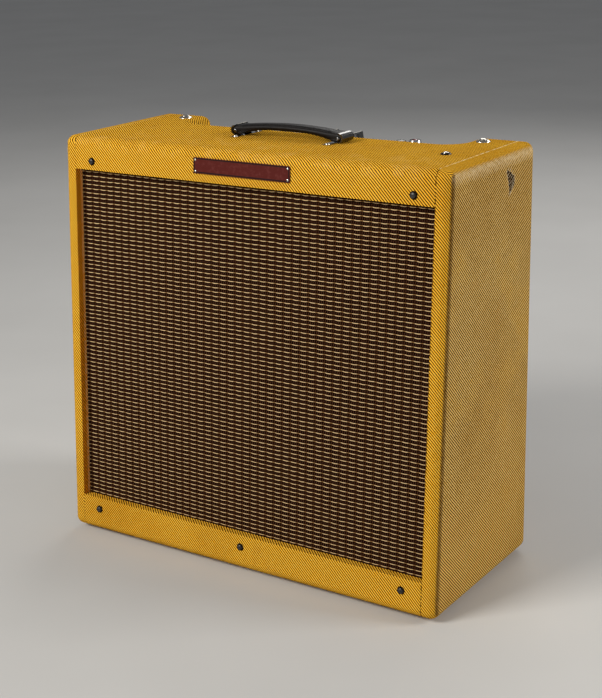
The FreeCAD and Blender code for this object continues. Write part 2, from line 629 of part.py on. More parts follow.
# Potentiometers under the panel, one for each knob, all alike.
pot_case = rod("pot_case", "12", ("-sheet_steel - 11", "-sheet_steel"), ("0", "0"))
pot_bush = rod("pot_bush", "bushing_radius - 0.05", ("-sheet_steel", "bushing_rise"), ("0", "0"))
pot_bore = rod("pot_bore", "shaft_radius + 0.06", ("-sheet_steel - 9", "bushing_rise + 1"),
               ("0", "0"))
pot_tags = [box(f"pot_tag_{n}", (f"{x} - 1.5", f"{x} + 1.5"), ("11", "17"),
                ("-sheet_steel - 6", "-sheet_steel - 5")) for n, x in enumerate((-6, 0, 6))]
pot = cut("pot", fuse("pot_solid", pot_case, pot_bush, *pot_tags), pot_bore)
pot_nut = cut("pot_nut", hexagon("pot_hex", "7.2", ("0.6", "3"), ("0", "0")),
              rod("pot_nut_bore", "bushing_radius", ("-1", "5"), ("0", "0")))
pot_washer = cut("pot_washer", rod("pot_disc", "8", ("0", "0.6"), ("0", "0")),
                 rod("pot_disc_bore", "bushing_radius", ("-1", "5"), ("0", "0")))
pot_set = group("pot_set", [pot, pot_nut, pot_washer])
KNOB_PLACES = [(f"first_knob - {index} * knob_pitch", "control_line", PANEL)
               for index in range(6)]
node(copies("pots", pot_set, KNOB_PLACES), "potentiometers")


def knob(name, place):
    """A pointer knob: a round skirt under a tall bar that narrows to its pointer, on its shaft."""
    skirt = turned(name + "_skirt", [("0", "0"), ("9.6", "0"), ("9.8", "1"), ("8.4", "5"),
                                     ("7.2", "7.4"), ("0", "7.4")])
    bar = document.addObject("PartDesign::Body", name + "_bar")
    sections = []
    for level, half, tail, tip in (("1.2", 5.4, 12, 18.4), ("12.8", 4, 10.5, 16),
                                   ("14", 3, 9.4, 14.7)):
        left = [(-half * x, y) for x, y in ((0.24, tip), (1, 0), (0.93, -tail * 0.55),
                                            (0.62, -tail * 0.88))]
        right = [(-x, y) for x, y in reversed(left)]
        ring = left + [(0, -tail)] + right + [(0, tip + half * 0.16)]
        sections.append(outline(bar, f"{name}_bar_{len(sections)}", "XY_Plane",
                                [(str(x), str(y)) for x, y in ring], level))
    loft = bar.newObject("PartDesign::AdditiveLoft", name + "_bar_loft")
    loft.Profile = sections[0]
    loft.Sections = sections[1:]
    loft.Ruled = True
    head = fuse(name + "_head", skirt, bar)
    socket = rod(name + "_socket", "shaft_radius", ("-1", "11"), ("0", "0"))
    shaft = rod(name + "_shaft", "shaft_radius", ("-bushing_rise - sheet_steel - 8", "11"),
                ("0", "0"))
    pieces = group(name + "_pieces", [cut(name + "_bored", head, socket), shaft])
    return put(pieces, place[0], place[1], f"{place[2]} + bushing_rise + 0.3")


for name, index in KNOBS:
    node(knob(f"{name}_control", KNOB_PLACES[index]), f"knob_{name}")

# Toggle switches: a boxed body with a threaded neck, and a bat-shaped lever on a ball. The levers
# rest tipped to the rear.
NECK = 4
neck = cut("toggle_neck_open", rod("toggle_neck", "bushing_radius - 0.05",
                                   ("-sheet_steel", str(NECK)), ("0", "0")),
           rod("toggle_neck_bore", "3.3", ("-sheet_steel - 1", str(NECK + 1)), ("0", "0")))
toggle_case = box("toggle_case", ("-7", "7"), ("-11", "11"), ("-sheet_steel - 16", "-sheet_steel"))
toggle_room = rod("toggle_room", "3.3", ("-sheet_steel - 5", "0"), ("0", "0"))
toggle_nut = cut("toggle_nut", hexagon("toggle_hex", "7.2", ("0", "2.4"), ("0", "0")),
                 rod("toggle_nut_bore", "bushing_radius", ("-1", "5"), ("0", "0")))
toggle_set = group("toggle_set", [fuse("toggle_body", neck, cut("toggle_case_open", toggle_case,
                                                                toggle_room)), toggle_nut])
node(copies("toggles", toggle_set, [(x, "control_line", PANEL) for name, x in SWITCHES]),
     "toggle_switch_bodies")
lever_body = turned("lever", [("0", "-3"), ("2.2", "-2.2"), ("3.1", "0"), ("2.6", "1.7"),
                              ("1.6", "2.7"), ("1.5", "4.2"), *round_end("2.3", "7.2", "2.2")])
for name, x in SWITCHES:
    lever = document.addObject("App::Link", f"{name}_lever_link")
    lever.LinkedObject = lever_body
    tipped = group(f"{name}_lever", [lever])
    tipped.Placement.Rotation = FreeCAD.Rotation(Vector(1, 0, 0), -12)
    put(tipped, x, "control_line", f"{PANEL} + 3")
    node(tipped, f"{name}_toggle_lever")

# Pilot lamp: a chromed bezel in the panel, with a faceted jewel standing out of it.
lamp = turned("lamp_bezel", [("5.6", "-14"), ("6.9", "-14"), ("6.9", "0"), ("9", "0"),
                             ("9", "3"), ("8.4", "14"), ("7.6", "17"), ("6.3", "17"),
                             ("6.3", "12"), ("5.6", "12")])
put(lamp, "lamp_side", "control_line", PANEL)
node(lamp, "pilot_lamp_holder")
jewel_round = turned("jewel_round", [("0", "12.1"), ("6.2", "12.1"), ("6.2", "14"), ("4", "17"),
                                     ("0", "18.2")])
blade = group("facet_blade", [box("facet", ("-6", "6"), ("0", "8"), ("0", "12"))])
blade.Placement = FreeCAD.Placement(Vector(0, 5.95, 14), FreeCAD.Rotation(Vector(1, 0, 0), 35))
facets = []
for index in range(8):
    facet = group(f"facet_{index}", [blade])
    facet.Placement.Rotation = FreeCAD.Rotation(Vector(0, 0, 1), 45 * index)
    facets.append(facet)
jewel = cut("jewel_cut", jewel_round, *facets)
put(jewel, "lamp_side", "control_line", PANEL)
node(jewel, "pilot_jewel")

# Fuse: a holder in the panel, and a cap that pulls out of it with the fuse.
fuse_holder = turned("fuse_holder_tube", [("4.3", "-32"), ("5.9", "-32"), ("5.9", "0"), ("8", "0"),
                                          ("8", "2"), ("7", "4.2"), ("4.3", "4.2")])
put(fuse_holder, "fuse_side", "control_line", PANEL)
node(fuse_holder, "fuse_holder")
cap_round = turned("fuse_cap_turned", [("0", "-26"), ("3.2", "-26"), ("3.2", "0"), ("4", "0"),
                                       ("4", "4.5"), ("7", "4.5"), ("7", "13.4"),
                                       ("6.2", "14.6"), ("0", "15.2")])
flutes = [rod(f"flute_{n}", "0.6", ("5.5", "16"),
              (f"7.3 * cos({n * 24})", f"7.3 * sin({n * 24})")) for n in range(15)]
cap = cut("fuse_cap_fluted", cap_round, *flutes)
put(cap, "fuse_side", "control_line", PANEL)
node(cap, "fuse_cap")

# Input sockets: a threaded sleeve with its nut, and a spring contact under the panel.
sleeve = turned("jack_sleeve", [("jack_bore", "-14"), ("7", "-14"), ("7", "-sheet_steel"),
                                ("bushing_radius - 0.05", "-sheet_steel"),
                                ("bushing_radius - 0.05", "4.4"), ("jack_bore", "4.4")])
jack_nut = cut("jack_nut", hexagon("jack_hex", "7.6", ("0.6", "3.2"), ("0", "0")),
               rod("jack_nut_bore", "bushing_radius", ("-1", "5"), ("0", "0")))
jack_washer = cut("jack_washer", rod("jack_disc", "8", ("0", "0.6"), ("0", "0")),
                  rod("jack_disc_bore", "bushing_radius", ("-1", "5"), ("0", "0")))
contact = box("jack_contact", ("5", "6"), ("-3", "3"), ("-36", "-14"))
contact_hook = box("jack_contact_hook", ("1", "6"), ("-3", "3"), ("-37", "-36"))
jack_set = group("jack_set", [fuse("jack_body", sleeve, contact, contact_hook), jack_nut,
                              jack_washer])
node(copies("jacks", jack_set, [(x, y, PANEL) for x, y in JACKS]), "input_jacks")

# Valve sockets under the chassis, and the valves that hang from them.
octal_socket = turned("octal_socket", [("0", "3.5"), ("13.8", "3.5"), ("13.8", "0"), ("19", "0"),
                                       ("19", "-1.6"), ("15.5", "-1.6"), ("15.5", "-socket_high"),
                                       ("0", "-socket_high")])
preamp_socket = turned("preamp_socket", [("0", "3.5"), ("8.8", "3.5"), ("8.8", "0"), ("13", "0"),
                                         ("13", "-1.6"), ("10.5", "-1.6"),
                                         ("10.5", "-socket_high"), ("0", "-socket_high")])
octal_spots = [(x, y, CHASSIS_LOW) for x, y in OCTALS]
preamp_spots = [(x, y, CHASSIS_LOW) for x, y in PREAMPS]
node(group("sockets", [copies("octal_sockets", octal_socket, octal_spots),
                       copies("preamp_sockets", preamp_socket, preamp_spots)]), "tube_sockets")
BASE = "-socket_high"
octal_base = turned("octal_base", [("0", BASE), ("16.8", BASE), ("16.8", f"{BASE} - 24"),
                                   ("14", f"{BASE} - 24"), ("14", f"{BASE} - 8"),
                                   ("0", f"{BASE} - 8")])
GLASS = f"({BASE} - 8)"
octal_glass = turned("octal_glass", [
    ("0", GLASS), ("13.6", GLASS), ("13.6", f"{GLASS} - 18"), ("octal_radius", f"{GLASS} - 26"),
    *round_end("octal_radius", f"{BASE} - octal_long + 14", "-14"),
    *reversed(round_end("octal_radius - 1.2", f"{BASE} - octal_long + 14.2", "-12.8")),
    ("octal_radius - 1.2", f"{GLASS} - 26.5"), ("12.4", f"{GLASS} - 18.5"),
    ("12.4", f"{GLASS} - 1.2"), ("0", f"{GLASS} - 1.2")])
plate_stack = box("octal_plate", ("-9", "9"), ("-6", "6"), (f"{BASE} - 78", f"{BASE} - 34"))
mica_low = rod("octal_mica_low", "12", (f"{BASE} - 79.4", f"{BASE} - 78"), ("0", "0"))
mica_high = rod("octal_mica_high", "12", (f"{BASE} - 34", f"{BASE} - 32.6"), ("0", "0"))
stem = rod("octal_stem", "5", (f"{BASE} - 32.6", f"{GLASS} - 1.2"), ("0", "0"))
octal_set = group("octal_set", [octal_base, octal_glass,
                                fuse("octal_works", plate_stack, mica_low, mica_high, stem)])
node(copies("octals", octal_set, octal_spots), "octal_tubes")
preamp_glass = turned("preamp_glass", [
    ("0", BASE), ("preamp_radius", BASE),
    *round_end("preamp_radius", f"{BASE} - preamp_long + 8", "-8")[:-1],
    ("1.5", f"{BASE} - preamp_long"), ("0", f"{BASE} - preamp_long - 4"),
    *reversed(round_end("preamp_radius - 1", f"{BASE} - preamp_long + 8.2", "-7")),
    ("preamp_radius - 1", f"{BASE} - 1.5"), ("0", f"{BASE} - 1.5")])
preamp_plate = box("preamp_plate", ("-6", "6"), ("-3", "3"), (f"{BASE} - 34", f"{BASE} - 10"))
preamp_mica = rod("preamp_mica", "8", (f"{BASE} - 10", f"{BASE} - 9"), ("0", "0"))
preamp_stem = rod("preamp_stem", "4", (f"{BASE} - 9", f"{BASE} - 1.5"), ("0", "0"))
preamp_set = group("preamp_set", [preamp_glass, fuse("preamp_works", preamp_plate, preamp_mica,
                                                     preamp_stem)])
node(copies("preamps", preamp_set, preamp_spots), "preamp_tubes")


def transformer(name, x, y, wide, deep, high, bells):
    """A laminated core with rounded covers front and rear and four through bolts, hung below."""
    half = f"{wide} / 2"
    core_y = (f"{y} - {deep} / 2", f"{y} + {deep} / 2")
    x_span = (f"{x} - {half}", f"{x} + {half}")
    z_span = (f"{CHASSIS_LOW} - {high}", CHASSIS_LOW)
    pieces = [box(name + "_core", x_span, core_y, z_span)]
    for end, way in (("front", -1), ("rear", 1)):
        near = f"{y} + {way} * {deep} / 2"
        far = f"{y} + {way} * ({deep} / 2 + {bells})"
        span = (far, near) if way < 0 else (near, far)
        bell = box(f"{name}_bell_{end}", (f"{x} - {half} + 6", f"{x} + {half} - 6"), span,
                   (f"{CHASSIS_LOW} - {high} + 6", f"{CHASSIS_LOW} - 6"))
        wall = number(far)
        pieces.append(softened(f"{name}_bell_{end}", bell, 6,
                               lambda edge: abs(edge.CenterOfMass.y - wall) < 0.01
                               or abs(edge.tangentAt(0).y) > 0.9))
    for across in (-1, 1):
        for level in ("5", f"{high} - 5"):
            for way in (-1, 1):
                near = f"{y} + {way} * {deep} / 2"
                far = f"{y} + {way} * ({deep} / 2 + 4)"
                span = (far, near) if way < 0 else (near, far)
                tag = f"{name}_bolt_{across + 1}_{len(pieces)}"
                pieces.append(rod(tag, "2.5", span,
                                  (f"{x} + {across} * ({half} - 3)",
                                   f"{CHASSIS_LOW} - {level}"), "y"))
    return group(name, pieces)


node(transformer("mains_core", "190", "62", "82", "40", "72", "22"), "power_transformer")
node(transformer("output_core", "-184", "74", "62", "28", "54", "15"), "output_transformer")
node(transformer("choke_core", "-226", "14", "42", "20", "38", "9"), "choke")

# The pan over the filter capacitors, and its capacitors.
pan_x = ("40", "142")
pan_y = ("2", "46")


def pan_block(name, inset, radius):
    """A block under the chassis with its lower edges rounded."""
    block = box(name, (f"{pan_x[0]} + {inset}", f"{pan_x[1]} - {inset}"),
                (f"{pan_y[0]} + {inset}", f"{pan_y[1]} - {inset}"),
                (f"{CHASSIS_LOW} - 34 + {inset}", CHASSIS_LOW))
    return softened(name, block, radius, lambda edge: edge.CenterOfMass.z < number(CHASSIS_LOW) - 1)


node(cut("pan", pan_block("pan_outside", 0, 4), pan_block("pan_inside", 1, 3)),
     "filter_capacitor_cover")

capacitors = [rod(f"filter_capacitor_{n}", "7.5", ("48", "134"), (y, f"{CHASSIS_LOW} - 19"), "x")
              for n, y in enumerate(("13", "35"))]
node(group("capacitors", capacitors), "filter_capacitors")

# The circuit board stands inside the chassis, behind its front wall.
BOARD_FRONT = "(chassis_front + sheet_steel + 6)"
board_plate = box("board_plate", ("-200", "160"), (BOARD_FRONT, f"{BOARD_FRONT} + 3"),
                  (f"{CHASSIS_LOW} + 5", f"{PANEL} - 7"))
spacers = [rod(f"spacer_{n}", "4", ("chassis_front + sheet_steel", BOARD_FRONT),
               (x, f"{CHASSIS_LOW} + 30"), "y") for n, x in enumerate(("-185", "-20", "145"))]
parts_on_board = []
for index in range(15):
    x = f"-186 + {index} * 23"
    low = f"{CHASSIS_LOW} + 12"
    if index % 3 == 0:
        parts_on_board.append(rod(f"capacitor_{index}", "6", (low, f"{low} + 34"),
                                  (x, f"{BOARD_FRONT} + 9")))
    else:
        parts_on_board.append(rod(f"resistor_{index}", "2.6", (f"{low} + 6", f"{low} + 24"),
                                  (x, f"{BOARD_FRONT} + 5.6")))
node(group("board_and_parts", [board_plate, *spacers, *parts_on_board]), "circuit_board")

grommet = turned("grommet", [("4", "-4"), ("8.5", "-4"), ("9.5", "-2.5"), ("9.5", "0"),
                             ("6.9", "0"), ("6.9", "sheet_steel"), ("9.5", "sheet_steel"),
                             ("9.5", "sheet_steel + 2"), ("8.5", "sheet_steel + 3"),
                             ("4", "sheet_steel + 3")])
put(grommet, GROMMET[0], GROMMET[1], CHASSIS_LOW)
node(grommet, "mains_grommet")


# ---------------------------------------------------------------- loudspeakers

# Drawn along Z, from the baffle's rear face, then turned to point to the rear.
WALL = 1.5
frame_body = turned("frame", [
    ("117", "0"), ("rim_radius", "0"), ("rim_radius", WALL), ("118.5", WALL), ("118.5", "9.5"),
    ("109.5", "9.5"), ("50.5", f"basket_deep + {WALL}"), ("16", f"basket_deep + {WALL}"),
    ("16", "basket_deep"), ("49.8", "basket_deep"), ("108.4", "8"), ("117", "8")])
window = outline(frame_body, "window", "XY_Plane",
                 [("60", "-15"), ("96", "-27"), ("99.5", "0"), ("96", "27"), ("60", "15"),
                  ("61.8", "0")])
window_pocket = frame_body.newObject("PartDesign::Pocket", "window_pocket")
window_pocket.Profile = window
window_pocket.Type = "ThroughAll"
window_pocket.Reversed = True
window_pattern = frame_body.newObject("PartDesign::PolarPattern", "window_pattern")
window_pattern.Originals = [window_pocket]
window_pattern.Axis = (window, ["N_Axis"])
window_pattern.Angle = 360
window_pattern.Occurrences = 8
frame_body.Tip = window_pattern

magnet_body = turned("magnet", [
    ("0", "basket_deep - 2"), ("11.8", "basket_deep - 2"), ("11.8", "basket_deep + 7.5"),
    ("15.2", "basket_deep + 7.5"), ("15.2", f"basket_deep + {WALL}"),
    ("magnet_radius", f"basket_deep + {WALL}"), ("magnet_radius", "basket_deep + 7.5"),
    ("magnet_radius - 6", "basket_deep + 8.5"), ("magnet_radius - 7", "basket_deep + 30"),
    ("magnet_radius - 12", "basket_deep + 35"), ("0", "basket_deep + 35")])

ROLL = "cone_radius - 8"
cone_paper = turned("cone_paper", [
    ("cone_radius", "5"), ("cone_radius", "5.8"), (ROLL, "5.8"), ("coil_radius + 0.7", "44.8"),
    ("coil_radius + 0.7", "43.8"), (ROLL, "4.6"), ("cone_radius - 4", "3.4")])
former = turned("former", [("coil_radius", "40"), ("coil_radius + 0.7", "40"),
                           ("coil_radius + 0.7", "66"), ("coil_radius", "66")])
dust_cap = turned("dust_cap", [*round_end("20", "40.3", "-7.3"),
                               *reversed(round_end("19.3", "40.5", "-6.7"))])
cone_set = group("cone_set", [cone_paper, former, dust_cap])


def along_baffle(name, source, places):
    """Copies of a piece drawn along Z, each pointing to the rear from the baffle's rear face."""
    turned_back = group(name + "_turned", [source])
    facing_back(turned_back)
    wrapped = group(name + "_wrapped", [turned_back])
    return lean_back(copies(name, wrapped, places))


SPEAKER_PLACES = [(x, BAFFLE_REAR, z) for name, x, z in SPEAKERS]
# Each frame carries a terminal block on its rear plate, on the side nearer the middle.
TERMINAL_REAR = f"(basket_deep + {WALL} + 11)"
TERMINAL_OUT = "(magnet_radius + 5)"
block_right = box("terminal_right", ("magnet_radius + 1", "magnet_radius + 9"), ("-10", "10"),
                  (f"basket_deep + {WALL}", TERMINAL_REAR))
block_left = box("terminal_left", ("-magnet_radius - 9", "-magnet_radius - 1"), ("-10", "10"),
                 (f"basket_deep + {WALL}", TERMINAL_REAR))
left_side = group("left_side_speaker", [frame_body, block_right])
right_side = group("right_side_speaker", [frame_body, block_left])
node(group("all_frames", [
    along_baffle("frames_left", left_side, [SPEAKER_PLACES[0], SPEAKER_PLACES[2]]),
    along_baffle("frames_right", right_side, [SPEAKER_PLACES[1], SPEAKER_PLACES[3]])]),
    "speaker_frames")
node(along_baffle("magnets", magnet_body, SPEAKER_PLACES), "speaker_magnets")
for (name, x, z), place in zip(SPEAKERS, SPEAKER_PLACES):
    node(along_baffle(f"cone_{name}", cone_set, [place]), f"speaker_cone_{name}")
bolt = turned("speaker_bolt", [("0", "-11"), ("2", "-9"), ("2", WALL), ("4.2", WALL),
                               ("4.2", WALL + 2), ("3", WALL + 3.2), ("0", WALL + 3.2)])
bolt_places = [(f"{x} + 123 * cos({angle})", y, f"{z} + 123 * sin({angle})")
               for x, y, z in SPEAKER_PLACES for angle in (22.5, 112.5, 202.5, 292.5)]
node(along_baffle("bolts", bolt, bolt_places), "speaker_bolts")


def behind_front(x, depth, rise):
    """A point given in the leaning front's frame."""
    back = Vector(number(x), number(depth), number(rise))
    turn = FreeCAD.Rotation(Vector(-1, 0, 0), math.degrees(math.atan(number("lean / tall"))))
    return turn.multVec(back) + Vector(0, number("-deep / 2"), number("foot"))


def lead(name, points, radius):
    """A lead along straight runs joined by tangent arcs, each as large as its two runs allow."""
    edges = []
    reached = points[0]
    for before, corner, after in zip(points, points[1:], points[2:]):
        way_in = (corner - before).normalize()
        way_out = (after - corner).normalize()
        half_turn = way_in.getAngle(way_out) / 2
        short = 0.45 * min((corner - before).Length, (after - corner).Length)
        bend = short / math.tan(half_turn)
        start = corner - way_in * short
        end = corner + way_out * short
        inward = (way_out - way_in).normalize()
        middle = corner + inward * (bend / math.cos(half_turn) - bend)
        edges.append(Part.LineSegment(reached, start).toShape())
        edges.append(Part.Arc(start, middle, end).toShape())
        reached = end
    edges.append(Part.LineSegment(reached, points[-1]).toShape())
    path = Part.Wire(edges)
    ring = Part.Wire(Part.makeCircle(radius, points[0], points[1] - points[0]))
    tube = document.addObject("Part::Feature", name)
    tube.Shape = path.makePipeShell([ring], True, False)
    print(f"{name}: {path.Length:.1f} mm long, section times length over volume "
          f"{math.pi * radius ** 2 * path.Length / tube.Shape.Volume:.4f}")
    return tube


# The leads hang from one terminal block to the next, and one goes up to the chassis.
LEAD_RADIUS = 1.6
END_DEPTH = f"{BAFFLE_REAR} + {TERMINAL_REAR}"


def terminal(side, rise, offset):
    """Where a lead meets a terminal block. side is -1 on the left and 1 on the right."""
    return behind_front(f"{side} * (speaker_side - {TERMINAL_OUT})", END_DEPTH,
                        f"{rise} + {offset}")


def hung(side, first, last, sway):
    """The points of a lead between the two loudspeakers on one side."""
    upper = terminal(side, "speaker_high", first)
    lower = terminal(side, "speaker_low", last)
    drop = upper.z - lower.z
    shape = [(0.02, 1, 13), (0.12, 5 + sway, 22), (0.27, 9, 26 + sway), (0.46, 11 - sway, 27),
             (0.65, 10 + sway, 26), (0.81, 6, 23), (0.94, 2, 13)]
    points = [Vector(upper.x - side * inward, upper.y + (lower.y - upper.y) * share + back,
                     upper.z - drop * share) for share, inward, back in shape]
    return [upper, *points, lower]


across_start = terminal(-1, "speaker_high", 5)
across_end = terminal(1, "speaker_high", 5)
across = [Vector(across_start.x * share, across_start.y + back, across_start.z - fall)
          for share, back, fall in ((0.98, 14, 3), (0.77, 23, 15), (0.4, 26, 26), (0.0, 25, 31),
                                    (-0.41, 26, 25), (-0.78, 23, 14), (-0.98, 13, 3))]
up_start = terminal(-1, "speaker_high", 0)
chassis_end = Vector(-44, 34, number(CHASSIS_LOW))
upward = [up_start + Vector(2, 14, 3), up_start + Vector(13, 24, 18), Vector(-54, 36, 452),
          Vector(-46, 36, 472)]
node(group("leads", [
    lead("lead_across", [across_start, *across, across_end], LEAD_RADIUS),
    lead("lead_left", hung(-1, "-5", "5", 1), LEAD_RADIUS),
    lead("lead_right", hung(1, "-5", "5", -1.5), LEAD_RADIUS),
    lead("lead_up", [up_start, *upward, chassis_end], LEAD_RADIUS)]), "speaker_leads")

# ---------------------------------------------------------------- check and write

document.recompute()
faults = [f"{thing.Name}: {thing.State}" for thing in document.Objects
          if "Invalid" in thing.State or "Error" in thing.State]
shapes = {}
for thing in nodes:
    shape = thing.Shape
    if shape.isNull() or not shape.isValid() or not shape.Solids:
        faults.append(f"{thing.Label}: its shape is null, not valid or has no solid")
    shapes[thing.Label] = shape
if faults:
    raise SystemExit("\n".join(faults))
os.makedirs("parts", exist_ok=True)
for label, shape in shapes.items():
    shape.exportStep(f"parts/{label}.step")
    print(f"{label:28s} {len(shape.Solids):3d} solids {shape.Volume / 1000:10.2f} cm3")
print(len(shapes), "nodes")
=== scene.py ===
import json
import math
import random

import bmesh
import bpy
from mathutils import Matrix, Vector


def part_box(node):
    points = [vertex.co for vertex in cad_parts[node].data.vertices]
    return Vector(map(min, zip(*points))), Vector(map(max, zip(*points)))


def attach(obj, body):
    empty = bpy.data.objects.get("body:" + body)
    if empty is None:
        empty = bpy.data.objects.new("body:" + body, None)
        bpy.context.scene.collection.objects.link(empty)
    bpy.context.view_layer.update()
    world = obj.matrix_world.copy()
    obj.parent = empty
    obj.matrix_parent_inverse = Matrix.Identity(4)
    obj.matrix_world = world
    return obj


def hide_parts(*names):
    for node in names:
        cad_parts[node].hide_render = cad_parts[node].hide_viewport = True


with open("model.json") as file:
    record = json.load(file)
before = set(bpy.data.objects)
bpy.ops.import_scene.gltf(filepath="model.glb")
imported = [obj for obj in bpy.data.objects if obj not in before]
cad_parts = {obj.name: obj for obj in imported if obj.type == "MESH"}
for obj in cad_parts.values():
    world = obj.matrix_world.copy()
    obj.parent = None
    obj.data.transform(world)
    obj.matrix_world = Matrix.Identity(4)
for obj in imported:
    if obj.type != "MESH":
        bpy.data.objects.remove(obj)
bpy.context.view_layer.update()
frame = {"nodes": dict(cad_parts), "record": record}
nodes = frame["nodes"]
MM = 0.001

# ---------------------------------------------------------------- places read from the frame

SKIN_LOW, SKIN_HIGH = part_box("covering_left")
FOOT = SKIN_LOW.z                                   # height of the cabinet's underside
TOP = SKIN_HIGH.z                                   # height of the covered top
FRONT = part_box("covering_bottom")[0].y              # foot of the leaning front
LEAN = math.atan(37 / 565)                          # the front leans back 37 mm over 565 mm
COS, SIN = math.cos(LEAN), math.sin(LEAN)
SLOPE = (TOP - FOOT) / COS                          # the front's length up the slope
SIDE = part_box("covering_right")[1].x                # half the covered width


# ---------------------------------------------------------------- material tools

class Recipe:
    """A material's node graph, with short names for the nodes it needs."""

    def __init__(self, name, **sockets):
        self.material = bpy.data.materials.new(name)
        self.material.use_nodes = True
        self.tree = self.material.node_tree
        self.shader = self.tree.nodes["Principled BSDF"]
        for socket, value in sockets.items():
            self.set(socket.replace("_", " "), value)

    def set(self, socket, value):
        """Give the shader's socket a number, a colour or another node's output."""
        target = self.shader.inputs[socket]
        if isinstance(value, bpy.types.NodeSocket):
            self.tree.links.new(value, target)
        elif isinstance(value, tuple):
            target.default_value = (*value, 1)[:4] if len(target.default_value) == 4 else value
        else:
            target.default_value = value
        return self

    def add(self, kind, inputs, output=0, **settings):
        node = self.tree.nodes.new("ShaderNode" + kind)
        for name, value in settings.items():
            setattr(node, name, value)
        for key, value in inputs.items():
            target = node.inputs[key]
            if isinstance(value, bpy.types.NodeSocket):
                self.tree.links.new(value, target)
            elif isinstance(value, tuple) and len(target.default_value) == 4:
                target.default_value = (*value, 1)[:4]
            else:
                target.default_value = value
        return node.outputs[output]

    def math(self, operation, first, second=0.0, third=None):
        inputs = {0: first, 1: second}
        if third is not None:
            inputs[2] = third
        return self.add("Math", inputs, operation=operation)

    def place(self):
        """Position in the row frame, as three outputs in millimetres."""
        if not hasattr(self, "axes"):
            spot = self.add("TexCoord", {}, "Object")
            scaled = self.add("VectorMath", {0: spot, "Scale": 1000.0}, operation="SCALE")
            split = self.tree.nodes.new("ShaderNodeSeparateXYZ")
            self.tree.links.new(scaled, split.inputs[0])
            self.spot = scaled
            self.axes = tuple(split.outputs)
        return self.axes

    def normal(self):
        split = self.tree.nodes.new("ShaderNodeSeparateXYZ")
        self.tree.links.new(self.add("NewGeometry", {}, "Normal"), split.inputs[0])
        return tuple(split.outputs)

    def stretched(self, x, y, z):
        """Position in millimetres, scaled differently along each axis."""
        self.place()
        return self.add("VectorMath", {0: self.spot, 1: (x, y, z)}, operation="MULTIPLY")

    def noise(self, scale, detail=3.0, rough=0.55, spot=None, twist=0.0):
        """Noise whose scale is in features per millimetre."""
        if spot is None:
            self.place()
            spot = self.spot
        return self.add("TexNoise", {"Vector": spot, "Scale": scale, "Detail": detail,
                                     "Roughness": rough, "Distortion": twist}, "Fac")

    def ramp(self, amount, *stops, smooth=False):
        """A colour ramp. Each stop is a position and a colour or a grey."""
        node = self.tree.nodes.new("ShaderNodeValToRGB")
        self.tree.links.new(amount, node.inputs[0])
        node.color_ramp.interpolation = "EASE" if smooth else "LINEAR"
        while len(node.color_ramp.elements) < len(stops):
            node.color_ramp.elements.new(0.5)
        for element, (position, colour) in zip(node.color_ramp.elements, stops):
            element.position = position
            element.color = (*colour, 1) if isinstance(colour, tuple) else (colour,) * 3 + (1,)
        return node.outputs[0]

    def blend(self, amount, first, second, kind="MIX"):
        """Mix two colours."""
        return self.add("Mix", {0: amount, 6: first, 7: second}, 2, data_type="RGBA",
                        blend_type=kind)

    def map(self, value, low, high, to_low, to_high):
        return self.add("MapRange", {"Value": value, "From Min": low, "From Max": high,
                                     "To Min": to_low, "To Max": to_high})

    def bump(self, height, strength=0.5, depth=0.3):
        """Relief, whose full height is in millimetres."""
        result = self.add("Bump", {"Height": height, "Strength": strength,
                                   "Distance": depth * MM})
        self.set("Normal", result)
        return self


def srgb(red, green, blue):
    """A colour given in screen values from 0 to 255, as linear light."""
    def linear(value):
        share = value / 255
        return share / 12.92 if share <= 0.04045 else ((share + 0.055) / 1.055) ** 2.4
    return (linear(red), linear(green), linear(blue))


def finish_with(recipe, *names):
    """Give a finish to CAD nodes."""
    for name in names:
        mesh = nodes[name].data
        mesh.materials.clear()
        mesh.materials.append(recipe.material)


# ---------------------------------------------------------------- camera and studio

def aim_camera():
    """The camera: its place, its three turns and its lens."""
    yaw, pitch, roll = 0.58965, 0.30731, -0.02452
    forward = Vector((-math.sin(yaw) * math.cos(pitch), math.cos(yaw) * math.cos(pitch),
                      -math.sin(pitch)))
    right = forward.cross(Vector((0, 0, 1))).normalized()
    above = right.cross(forward)
    tilted_right = math.cos(roll) * right + math.sin(roll) * above
    tilted_above = -math.sin(roll) * right + math.cos(roll) * above
    lens = bpy.data.cameras.new("camera")
    lens.lens = 75.318
    lens.sensor_width = 36
    lens.clip_end = 50
    camera = bpy.data.objects.new("camera", lens)
    bpy.context.scene.collection.objects.link(camera)
    turn = Matrix((tilted_right, tilted_above, -forward)).transposed().to_4x4()
    camera.matrix_world = Matrix.Translation(Vector((1.07459, -1.57818, 0.88771))) @ turn
    bpy.context.scene.camera = camera


def softbox(name, place, target, size, power, tint):
    light = bpy.data.lights.new(name, "AREA")
    light.shape = "RECTANGLE"
    light.size, light.size_y = size
    light.energy = power
    light.color = tint
    lamp = bpy.data.objects.new(name, light)
    bpy.context.scene.collection.objects.link(lamp)
    lamp.location = place
    lamp.rotation_euler = (Vector(target) - Vector(place)).to_track_quat("-Z", "Y").to_euler()


